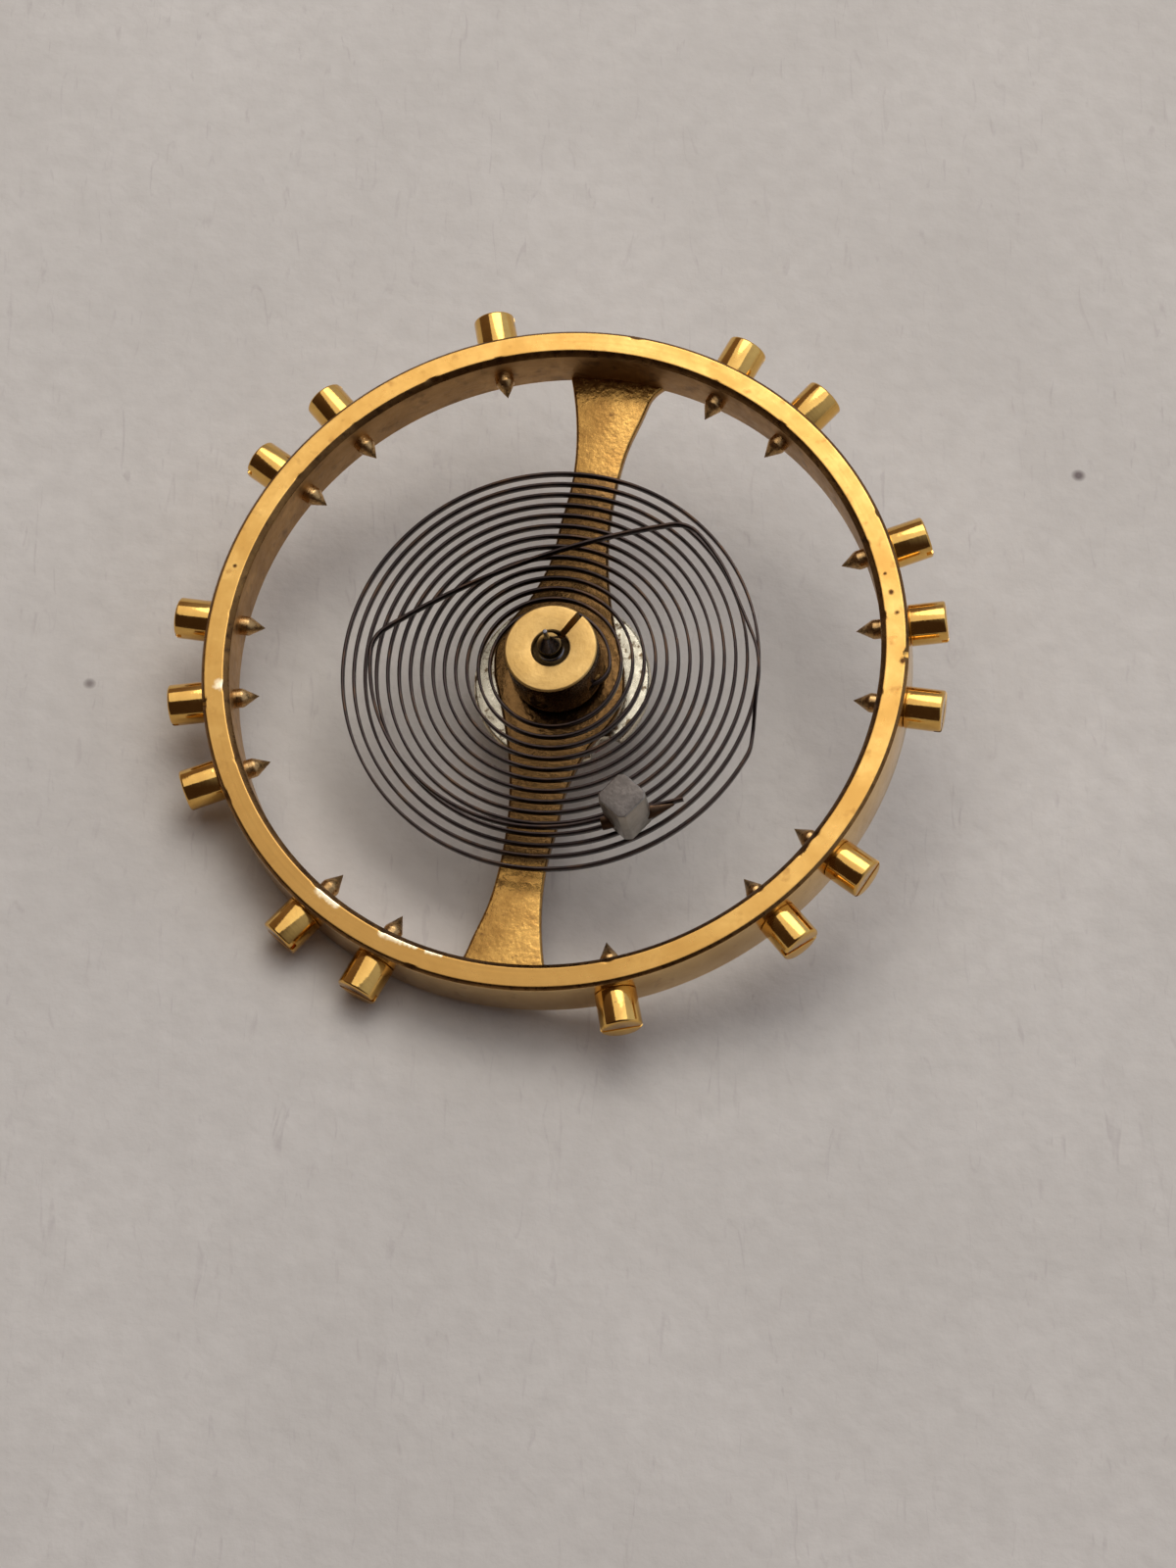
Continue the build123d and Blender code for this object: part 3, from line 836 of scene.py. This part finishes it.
def cross_bar_outline():
    """Closed outline of both arms and the hub, anticlockwise, ending inside the rim's wall."""
    middle = (RIM_INNER + RIM_OUTER) / 2
    left = [np.array(p) * RIM_INNER for p in ARM_LEFT]
    right = [np.array(p) * RIM_INNER for p in ARM_RIGHT]
    left = smooth_curve(left, ARM_CURVE_POINTS, ends=((0, 1), turned(ARM_LEFT_HEADING)[:2]))
    right = smooth_curve(right, ARM_CURVE_POINTS)
    corner = right[-1] / np.linalg.norm(right[-1]) * middle
    ends = [corner, np.array([left[-1][0], math.sqrt(middle**2 - left[-1][0] ** 2)])]
    upper = [np.array([*p, 0.0]) for p in right + ends + left[::-1]]
    return upper + [-p for p in upper]


def rim_pick(centre, normal):
    """Top face, inner wall, outer wall and underside, or a bevel, whose dark colour is painted shade."""
    if abs(normal.z) < WALL:
        return 1 if math.hypot(centre.x, centre.y) < RIM_INNER + INNER_BEVEL else 2
    if abs(normal.z) < LEVEL:
        return 3
    return 0 if normal.z > 0 else 2


rim = new_mesh("rim", *rim_mesh())
rim_materials = [rim_top, rim_inside, rim_side, rim_bevel_shade]
piece(rim, "balance", "balance_rim", rim_materials, pick=rim_pick, smooth=30)

bar_hole = circle(np.zeros(3), ARM_SEAT + SEAT_GAP, 96)
bar_shape = prism(
    cross_bar_outline(), ARM_LEVEL + ARM_LIFT, ARM_TOP, [bar_hole], bevel=ARM_BEVEL, steps=4
)
cross_bar = new_mesh("cross_bar", *bar_shape)
piece(cross_bar, "balance", "balance_rim", [arm_face], smooth=50)


# Screws
def screw_pick(centre, normal):
    """The head and shank, or the point, which is duller."""
    return 1 if math.hypot(centre.x, centre.y) < RIM_INNER + POINT_REACH else 0


screw_profile = rounded(
    (
        (0, SHANK_END - POINT_LENGTH),
        (SHANK_RADIUS, SHANK_END),
        (SHANK_RADIUS, 0.0),
        (HEAD_RADIUS, 0.0),
        (HEAD_RADIUS, HEAD_LENGTH - HEAD_BEVEL),
        (HEAD_RADIUS - HEAD_BEVEL, HEAD_LENGTH),
        (0, HEAD_LENGTH),
    ),
    TURNED_CORNER,
)
screw_slot_middle = UP * (HEAD_LENGTH - SLOT_DEPTH / 2 + SLOT_CUT_OVERRUN / 2)
screw_slot_sizes = (SLOT_CUT_LENGTH, SLOT_WIDTH, SLOT_DEPTH + SLOT_CUT_OVERRUN)
all_screw_angles = [angle + half_turn for half_turn in (0, 180) for angle in SCREW_ANGLES]
for number, angle in enumerate(all_screw_angles, 1):
    screw = new_mesh(f"screw_{number:02d}", *lathe(screw_profile, SCREW_SEGMENTS))
    slot_turn = SLOT_STEP * number % SLOT_SPREAD - SLOT_SPREAD / 2
    cut(screw, box_shape(screw_slot_middle, turned(slot_turn), screw_slot_sizes))
    soften(screw, CUT_EDGE)
    outward = turned(angle)
    side = np.cross(UP, outward)
    seat = outward * RIM_OUTER + UP * SCREW_LEVEL
    place = Matrix([*zip(side, UP, outward, seat), (0, 0, 0, 1)])
    piece(
        screw, "balance", f"balance_screw_{number:02d}",
        [screw_brass, screw_point], place, pick=screw_pick,
    )


# Staff
staff_profile = rounded(
    (
        (0, 0),
        (PIVOT_RADIUS, 0),
        (PIVOT_RADIUS, PIVOT_LENGTH),
        (ARBOR_RADIUS, PIVOT_LENGTH + CONE_LENGTH),
        (ARBOR_RADIUS, ROLLER_SEAT_LEVEL),
        (ROLLER_SEAT, ROLLER_SEAT_LEVEL),
        (ROLLER_SEAT, ROLLER_TOP),
        (STAFF_HUB, ROLLER_TOP),
        (STAFF_HUB, ARM_LEVEL),
        (ARM_SEAT, ARM_LEVEL),
        (ARM_SEAT, ARM_TOP),
        (RIVET_RADIUS, ARM_TOP),
        (RIVET_RADIUS, ARM_TOP + RIVET_HEIGHT / 2),
        (ARM_SEAT, ARM_TOP + RIVET_HEIGHT),
        (COLLET_SEAT, ARM_TOP + RIVET_HEIGHT),
        (COLLET_SEAT, COLLET_TOP - SHOULDER_DROP),
        (ARBOR_RADIUS, COLLET_TOP),
        (ARBOR_RADIUS, UPPER_CONE_LEVEL),
        (PIVOT_RADIUS, STAFF_TOP - PIVOT_LENGTH),
        (PIVOT_RADIUS, STAFF_TOP),
        (0, STAFF_TOP),
    ),
    TURNED_CORNER,
    4,
)
staff = new_mesh("staff", *lathe(staff_profile, STAFF_SEGMENTS))
piece(staff, "balance", "balance_staff", [staff_steel])

# Roller and jewel
roller_profile = rounded(
    (
        (ROLLER_SEAT + SEAT_GAP, ROLLER_BOTTOM - ROLLER_HUB_LENGTH),
        (ROLLER_HUB, ROLLER_BOTTOM - ROLLER_HUB_LENGTH),
        (ROLLER_HUB, ROLLER_BOTTOM),
        (ROLLER_RADIUS, ROLLER_BOTTOM),
        (ROLLER_RADIUS, ROLLER_TOP - ROLLER_BEVEL),
        (ROLLER_RADIUS - ROLLER_BEVEL, ROLLER_TOP),
        (ROLLER_SEAT + SEAT_GAP, ROLLER_TOP),
    ),
    FINE_CORNER,
    2,
    closed=True,
)
roller = new_mesh("roller", *lathe(roller_profile, ROLLER_SEGMENTS, closed=True))
jewel_centre = turned(JEWEL_ANGLE, JEWEL_CENTRE)
crescent = circle(turned(JEWEL_ANGLE, CRESCENT_CENTRE), CRESCENT_RADIUS, 96)
jewel_hole = circle(jewel_centre, JEWEL_RADIUS + SEAT_GAP)
for outline in (crescent, jewel_hole):
    cut(roller, prism(outline, ROLLER_BOTTOM - ROLLER_CUT_OVERRUN, ROLLER_TOP + ROLLER_CUT_OVERRUN))
soften(roller, CUT_EDGE)
piece(roller, "balance", "roller_table", [roller_steel])

flat_turn = math.degrees(math.acos(JEWEL_FLAT_SHARE))
round_turn = 360 - 2 * flat_turn
jewel_outline = [
    jewel_centre + turned(JEWEL_ANGLE + flat_turn + round_turn * step / JEWEL_STEPS, JEWEL_RADIUS)
    for step in range(JEWEL_STEPS + 1)
]
jewel_shape = prism(
    jewel_outline, ROLLER_BOTTOM - JEWEL_DROP, ROLLER_TOP, bevel=JEWEL_BEVEL, steps=3
)
jewel = new_mesh("jewel", *jewel_shape)
piece(jewel, "balance", "impulse_jewel", [ruby], smooth=35)


# Collet and its pin
def collet_pick(centre, normal):
    """The faces and bore, or the flank, whose dark colour is painted shade."""
    on_flank = math.hypot(centre.x, centre.y) > COLLET_RADIUS - FLANK_DEPTH
    return 1 if normal.z < STEEP and on_flank else 0


collet_profile = rounded(
    (
        (COLLET_SEAT + SEAT_GAP, COLLET_LEVEL),
        (COLLET_RADIUS - COLLET_BEVEL, COLLET_LEVEL),
        (COLLET_RADIUS, COLLET_LEVEL + COLLET_BEVEL),
        (COLLET_RADIUS, COLLET_TOP - COLLET_BEVEL),
        (COLLET_RADIUS - COLLET_BEVEL, COLLET_TOP),
        (COLLET_SEAT + SEAT_GAP, COLLET_TOP),
    ),
    COLLET_CORNER,
    3,
    closed=True,
)
pin_direction = turned(HOLE_ANGLE + 90)
hole_middle = turned(HOLE_ANGLE, HOLE_OFFSET) + UP * SPRING_LEVEL
half_chord = math.sqrt(COLLET_RADIUS**2 - HOLE_OFFSET**2)
collet = new_mesh("collet_ring", *lathe(collet_profile, COLLET_SEGMENTS, closed=True))
slot_length = COLLET_RADIUS + COLLET_SLOT_OVERRUN
slot_centre = turned(COLLET_SLOT_ANGLE, slot_length / 2) + UP * (COLLET_LEVEL + COLLET_HEIGHT / 2)
collet_slot_sizes = (slot_length, COLLET_SLOT, COLLET_SLOT_CUT_HEIGHT)
cut(
    collet,
    rod_shape(hole_middle, pin_direction, HOLE_CUT_LENGTH, HOLE_RADIUS),
    box_shape(slot_centre, turned(COLLET_SLOT_ANGLE), collet_slot_sizes),
)
soften(collet, COLLET_CUT_EDGE)
collet_materials = [collet_top, shaded_collet_flank]
piece(collet, "balance", "collet", collet_materials, pick=collet_pick)


def flat_pin(name, stations, start, direction, flat_side, flat_reach):
    """Round pin with (radius, distance) stations, flattened where it meets the strip."""
    verts, faces = lathe(rounded(stations, TURNED_CORNER), ROD_SEGMENTS)
    across = np.cross(direction, UP)
    moved = []
    for x, y, z in verts:
        point = across * x + UP * y
        beyond = point @ flat_side - flat_reach
        if beyond > 0:
            point = point - flat_side * beyond
        moved.append(start + point + direction * z)
    return new_mesh(name, moved, faces)


pin_length = 2 * half_chord + COLLET_PIN_TAIL - SEAT_GAP
collet_pin = flat_pin(
    "collet_taper_pin",
    ((0, 0), (COLLET_PIN_RADII[0], 0), (COLLET_PIN_RADII[1], pin_length), (0, pin_length)),
    hole_middle - pin_direction * (half_chord + COLLET_PIN_TAIL),
    pin_direction, turned(HOLE_ANGLE), STRIP_OFFSET - FLAT_GAP,
)
piece(collet_pin, "balance", "collet_pin", [pin_brass])


# Hairspring
def hairspring_route():
    """Points along the strip's middle, and the radius of the overcoil's last curve."""
    shift = np.array(COIL_SHIFT)
    centres = (shift - (COIL_PITCH / 4, 0, 0), shift + (COIL_PITCH / 4, 0, 0))
    foot = turned(HOLE_ANGLE, HOLE_OFFSET + STRIP_OFFSET)
    reach = turned(HOLE_ANGLE, HOLE_OFFSET + STRIP_OFFSET - INNER_BEND) - centres[0]
    along = reach @ pin_direction
    bend_reach = FIRST_COIL_RADIUS - INNER_BEND
    bend_start = math.sqrt(along**2 - reach @ reach + bend_reach**2) - along
    bend_centre = centres[0] + reach + pin_direction * bend_start
    first_angle = heading(bend_centre - centres[0]) - 360
    low, high = UP * SPRING_LEVEL, UP * OVERCOIL_LEVEL
    points = []

    def line(a, b):
        steps = max(2, math.ceil(np.linalg.norm(b - a) / ROUTE_STEP))
        points.extend(a + (b - a) * k / steps for k in range(steps))

    def arc(centre, radius, start, end):
        turn = abs(end - start)
        by_length = math.ceil(math.radians(turn) * radius / ROUTE_STEP)
        steps = max(3, by_length, math.ceil(turn / ROUTE_TURN))
        angles = [start + (end - start) * k / steps for k in range(steps)]
        points.extend(centre + turned(angle, radius) for angle in angles)

    # The straight in the collet's hole, and the bend to the first coil
    line(foot - pin_direction * half_chord / 2 + low, foot + pin_direction * bend_start + low)
    arc(bend_centre + low, INNER_BEND, HOLE_ANGLE, first_angle)

    # The coils, each half turn about one of two centres, and the last one spread
    last_centre = centres[(HALF_TURNS - 1) % 2] + (LAST_COIL_SPREAD, 0, 0)
    last_radius = FIRST_COIL_RADIUS + (HALF_TURNS - 1) * COIL_PITCH / 2 + LAST_COIL_SPREAD
    outer_radius = last_radius - OUTER_CURVE_INSET
    straight_way = turned(OUTER_CURVE_ANGLE + 90)
    straight_end = turned(OUTER_CURVE_ANGLE, outer_radius)
    corner = straight_end - straight_way * STRAIGHT_LENGTH
    ramp_start = last_centre + turned(RAMP_START_ANGLE, last_radius - RAMP_START_INSET)
    ramp_angle = heading(corner - ramp_start)
    ramp_way, ramp_in = turned(ramp_angle), turned(ramp_angle + 90)
    tangent = RAMP_END_RADIUS * math.tan(math.radians(OUTER_CURVE_ANGLE + 90 - ramp_angle) / 2)
    ramp_length = np.linalg.norm(corner - ramp_start) - tangent
    rise = OVERCOIL_LEVEL - SPRING_LEVEL
    curve_radius = (ramp_length**2 + rise**2) / (4 * rise)
    reach = ramp_start - last_centre
    start_radius = (last_radius**2 - reach @ reach) / (2 * (last_radius + ramp_in @ reach))
    start_centre = ramp_start + ramp_in * start_radius
    last_angle = heading(start_centre - last_centre)
    for turn in range(HALF_TURNS - 1):
        start = first_angle if turn == 0 else turn * 180
        radius = FIRST_COIL_RADIUS + turn * COIL_PITCH / 2
        arc(centres[turn % 2] + low, radius, start, (turn + 1) * 180)
    last_start = (HALF_TURNS - 1) * 180
    last_end = last_start + (last_angle - last_start) % 360
    arc(last_centre + low, last_radius, last_start, last_end)

    # The bend on to the ramp, the ramp, and the straight that it ends in
    start_turn = (ramp_angle - 90 - last_angle) % 360
    arc(start_centre + low, start_radius, last_angle, last_angle + start_turn)
    for step in range(RAMP_STEPS):
        share = step / RAMP_STEPS
        nearer = min(share, 1 - share) * ramp_length
        height = curve_radius - math.sqrt(curve_radius**2 - nearer**2)
        height = height if share <= 0.5 else rise - height
        points.append(ramp_start + ramp_way * share * ramp_length + low + UP * height)
    ramp_end_centre = ramp_start + ramp_way * ramp_length + ramp_in * RAMP_END_RADIUS
    arc(ramp_end_centre + high, RAMP_END_RADIUS, ramp_angle - 90, OUTER_CURVE_ANGLE)
    line(corner + straight_way * tangent + high, straight_end + high)

    # The overcoil: its outer curve, first knee, crossing, second knee, inner curve and tail
    inner_radius = last_radius - INNER_CURVE_INSET
    first_knee = turned(FIRST_KNEE_ANGLE, outer_radius - KNEE_RADIUS)
    second_knee = turned(SECOND_KNEE_ANGLE, inner_radius - KNEE_RADIUS)
    across = second_knee - first_knee
    way = across / np.linalg.norm(across)
    left = np.array([-way[1], way[0], 0.0])
    crossing_reach = math.sqrt((CROSSING_RADIUS - KNEE_RADIUS) ** 2 - across @ across / 4)
    centre = (first_knee + second_knee) / 2 + left * crossing_reach
    first_turn, second_turn = heading(first_knee - centre), heading(second_knee - centre)
    arc(high, outer_radius, OUTER_CURVE_ANGLE, FIRST_KNEE_ANGLE)
    arc(first_knee + high, KNEE_RADIUS, FIRST_KNEE_ANGLE, first_turn)
    arc(centre + high, CROSSING_RADIUS, first_turn, second_turn)
    arc(second_knee + high, KNEE_RADIUS, second_turn, SECOND_KNEE_ANGLE)
    arc(high, inner_radius, SECOND_KNEE_ANGLE, STUD_LINE_ANGLE)
    tail = turned(STUD_LINE_ANGLE, inner_radius) + high
    tail_end = tail + turned(STUD_LINE_ANGLE + 90) * TAIL_LENGTH
    line(tail, tail_end)
    points.append(tail_end)
    return np.array(points), inner_radius


def strip_mesh(route):
    """A flat strip swept along the route, standing on edge, with its corners taken off."""
    ahead = np.gradient(route, axis=0)
    ahead /= np.linalg.norm(ahead, axis=1)[:, None]
    side = np.cross(ahead, UP)
    side /= np.linalg.norm(side, axis=1)[:, None]
    tall = np.cross(side, ahead)
    x, y, c = STRIP_THICKNESS / 2, STRIP_HEIGHT / 2, STRIP_CORNER
    section = [(x, c - y), (x, y - c), (x - c, y), (c - x, y)]
    section += [(-x, y - c), (-x, c - y), (c - x, -y), (x - c, -y)]
    rings = [route + side * a + tall * b for a, b in section]
    verts = np.stack(rings, 1).reshape(-1, 3)
    faces, n = [], len(section)
    for i in range(len(route) - 1):
        for k in range(n):
            a, b = i * n + k, i * n + (k + 1) % n
            faces.append((a, b, b + n, a + n))
    faces.append(tuple(range(n))[::-1])
    faces.append(tuple(range((len(route) - 1) * n, len(route) * n)))
    return verts, faces, n


# The strip turns with the collet at one end, stays in the stud at the other, and bends evenly
# along its length in between.
route, stud_line_radius = hairspring_route()
strip_verts, strip_faces, ring_size = strip_mesh(route)
hairspring = new_mesh("hairspring_strip", strip_verts, strip_faces)
piece(hairspring, None, "hairspring", [blued_steel], smooth=60)
stud_line = turned(STUD_LINE_ANGLE + 90)
stud_point = turned(STUD_LINE_ANGLE, stud_line_radius) + stud_line * STUD_DISTANCE
stud_point += UP * OVERCOIL_LEVEL
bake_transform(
    hairspring, "stud_assembly", "balance", start=tuple(stud_point * MM), end=tuple(route[0] * MM)
)
passed = np.concatenate([[0], np.cumsum(np.linalg.norm(np.diff(route, axis=0), axis=1))])
stud_face = stud_point - stud_line * STUD_WIDTH / 2
in_stud = np.argmin(np.linalg.norm(route - stud_face, axis=1))
weights = np.repeat(np.clip(1 - passed / passed[in_stud], 0, 1), ring_size)
blend_values = hairspring.data.attributes["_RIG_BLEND"].data
blend_values.foreach_set("value", weights.astype(np.float32))

# Stud and its pin
outward = turned(STUD_LINE_ANGLE)
stud_middle = stud_point + outward * STUD_OFFSET
hole_centre = stud_point + outward * STUD_HOLE_OFFSET
half_width = STUD_WIDTH / 2
inset = half_width - STUD_CORNER
corners = [(half_width, -inset), (half_width, inset), (inset, half_width), (-inset, half_width)]
corners += [(-x, -y) for x, y in corners]
stud_heading = heading(stud_line) + STUD_TURN
stud_x, stud_y = turned(stud_heading), turned(stud_heading + 90)
stud_outline = [
    stud_middle + stud_x * x + stud_y * y for x, y in rounded(corners, FINE_CORNER, 2, True)
]
stud_shape = prism(
    stud_outline, STUD_FOOT, STUD_FOOT + STUD_HEIGHT, bevel=STUD_BEVEL, steps=3
)
stud = new_mesh("stud_block", *stud_shape)
cut(stud, rod_shape(hole_centre, stud_line, STUD_HOLE_CUT_LENGTH, STUD_HOLE_RADIUS))
soften(stud, CUT_EDGE, angle=50)
piece(
    stud, "stud_assembly", "stud", [stud_top, stud_side],
    pick=lambda centre, normal: 0 if normal.z > NEARLY_LEVEL else 1,
)

pin_radius = STUD_HOLE_RADIUS - SEAT_GAP
pin_body = STUD_PIN_BODY + STUD_PIN_TAIL
pin_total = pin_body + STUD_PIN_POINT
stud_pin = flat_pin(
    "stud_taper_pin",
    ((0, 0), (pin_radius, 0), (pin_radius, pin_body), (STUD_PIN_TIP, pin_total), (0, pin_total)),
    hole_centre - stud_line * (STUD_PIN_BODY / 2 + STUD_PIN_TAIL),
    stud_line, -outward, STUD_HOLE_OFFSET - FLAT_GAP,
)
piece(stud_pin, "stud_assembly", "stud_pin", [pin_brass])


# Paper. The wheel leans on its lower pivot and on the rim's underside at LEAN_HEADING, so in
# the wheel's own frame the paper passes through the origin and rises towards that place.
LEAN_HEADING = 232
LEAN_SLOPE = ARM_LEVEL / RIM_OUTER
PAPER_REACH = 1.5


def paper_material():
    """Plain warm grey paper with faint clouds, fibres and a few specks, seen from above only."""
    make = Shader("paper", Roughness=0.85)
    place = make.node("TexCoord").outputs["Object"]
    cloud = make.between(make.noise(0.12, 3.0, place), *WIDE)
    colour = make.mix(cloud, (0.653, 0.608, 0.552), (0.738, 0.689, 0.629))
    mottle = make.between(make.noise(1.6, 5.0, place), *MIDDLE, 0.0, 0.35)
    colour = make.mix(mottle, colour, (0.584, 0.540, 0.489))
    stretched = {0: place, "Rotation": (0, 0, 0.6), "Scale": (1, 0.18, 1)}
    fibre_place = make.node("Mapping", stretched).outputs[0]
    fibre_noise = make.noise(3.5, 4.0, fibre_place, distortion=1.5)
    fibres = make.between(fibre_noise, 0.62, 0.75, 0.0, 0.35)
    colour = make.mix(fibres, colour, (0.46, 0.40, 0.38))
    specks = make.node("TexVoronoi", {"Vector": place, "Scale": 0.16 / MM})
    dot = make.between(specks.outputs["Distance"], 0.035, 0.02)
    colour = make.mix(dot, colour, (0.22, 0.18, 0.17))
    height = make.noise(2.2, 6.0, place)
    make.finish(Base_Color=colour, Normal=make.bump(height, 0.035))
    back = make.node("NewGeometry").outputs["Backfacing"]
    seen = make.node("LightPath").outputs["Is Camera Ray"]
    clear = make.node("BsdfTransparent")
    both = make.math("MULTIPLY", back, seen)
    mixed = make.node("MixShader", {0: both, 1: make.surface.outputs[0], 2: clear.outputs[0]})
    make.tree.links.new(mixed.outputs[0], make.tree.nodes["Material Output"].inputs["Surface"])
    return make.material


lean_way = Vector(turned(LEAN_HEADING))
floor_normal = (Vector((0, 0, 1)) - LEAN_SLOPE * lean_way).normalized()
floor_mesh = bpy.data.meshes.new("paper_floor")
paper_corners = [(-1, -1, 0), (1, -1, 0), (1, 1, 0), (-1, 1, 0)]
floor_mesh.from_pydata([Vector(p) * PAPER_REACH for p in paper_corners], [], [(0, 1, 2, 3)])
floor = bpy.data.objects.new("paper_floor", floor_mesh)
bpy.context.scene.collection.objects.link(floor)
floor.rotation_mode = "QUATERNION"
floor.rotation_quaternion = Vector((0, 0, 1)).rotation_difference(floor_normal)
floor_mesh.materials.append(paper_material())


# Light
def window_light(name, shape, way, distance, half_angles, radiance, colour):
    """Flat light that faces the wheel and spans set half angles, as a window does."""
    way = Vector(way).normalized()
    data = bpy.data.lights.new(name, "AREA")
    data.shape = shape
    data.size, data.size_y = (2 * distance * math.tan(math.radians(a)) for a in half_angles)
    area = data.size * data.size_y * (math.pi / 4 if shape == "ELLIPSE" else 1)
    # Blender gives an area light a radiance of a quarter of its power per area
    data.energy = radiance * 4 * area
    data.color = colour
    light = bpy.data.objects.new(name, data)
    bpy.context.scene.collection.objects.link(light)
    across = (Vector((1, 0, 0)) - way * way.x).normalized()
    light.matrix_world = Matrix((across, way.cross(across), way)).transposed().to_4x4()
    light.location = way * distance
    light.visible_camera = False


def room_light():
    """The world: a plain room, bright to the right, brown elsewhere, and pale below."""
    world = bpy.data.worlds.new("room")
    bpy.context.scene.world = world
    world.use_nodes = True
    make = Nodes(world.node_tree)

    def blended(value, start, end, before, after):
        """Two colours, with a smooth step from one to the other as a value grows."""
        return make.mix(make.between(value, start, end, curve="SMOOTHSTEP"), before, after)

    way = make.node("TexCoord").outputs["Generated"]
    bright_way = Vector((0.86, 0.38, 0.34)).normalized()
    dot = make.node("VectorMath", {0: way, 1: bright_way}, operation="DOT_PRODUCT")
    parts = make.node("SeparateXYZ", {0: way}).outputs
    walls = blended(parts[1], -0.2, 0.8, (0.045, 0.028, 0.022), (0.19, 0.125, 0.09))
    room = blended(dot.outputs["Value"], 0.20, 0.95, walls, (0.54, 0.58, 0.68))
    colour = blended(parts[2], 0.0, 0.10, (0.50, 0.475, 0.46), room)
    background = make.tree.nodes["Background"]
    make.fill(background.inputs["Color"], colour)
    make.fill(background.inputs["Strength"], 1.0)


window_light(
    "window", "RECTANGLE", way=(0.13, 0.47, 1.0), distance=0.30, half_angles=(30, 28),
    radiance=0.72, colour=(1.0, 0.98, 0.95),
)
window_light(
    "window_core", "ELLIPSE", way=(0.26, 0.87, 1.0), distance=0.16, half_angles=(20, 20),
    radiance=1.45, colour=(1.0, 0.97, 0.92),
)
room_light()

# Camera, fitted to the photograph about the centre of the rim's top face: its shift and
# distance are in units of CAMERA_UNIT, and its tilts about X and Y in radians.
CAMERA_UNIT = 7.92
CAMERA_TILT = (-0.3725, -0.1278)
CAMERA_SHIFT = (-0.1025, 0.3743, 0.0)
CAMERA_DISTANCE = 13.851
SENSOR_WIDTH = 36
LENS = 112.5

tilt = Matrix.Rotation(CAMERA_TILT[0], 3, "X") @ Matrix.Rotation(CAMERA_TILT[1], 3, "Y")
camera_data = bpy.data.cameras.new("camera")
camera_data.sensor_width = SENSOR_WIDTH
camera_data.lens = LENS
camera_data.clip_start = 0.005
camera_data.clip_end = 10
camera = bpy.data.objects.new("camera", camera_data)
bpy.context.scene.collection.objects.link(camera)
away = Vector((0, 0, CAMERA_DISTANCE)) - Vector(CAMERA_SHIFT)
camera_place = tilt.transposed() @ away * CAMERA_UNIT + Vector((0, 0, RIM_TOP))
camera.matrix_world = Matrix.Translation(camera_place * MM) @ tilt.transposed().to_4x4()
bpy.context.scene.camera = camera

bpy.context.scene.view_settings.view_transform = "Standard"
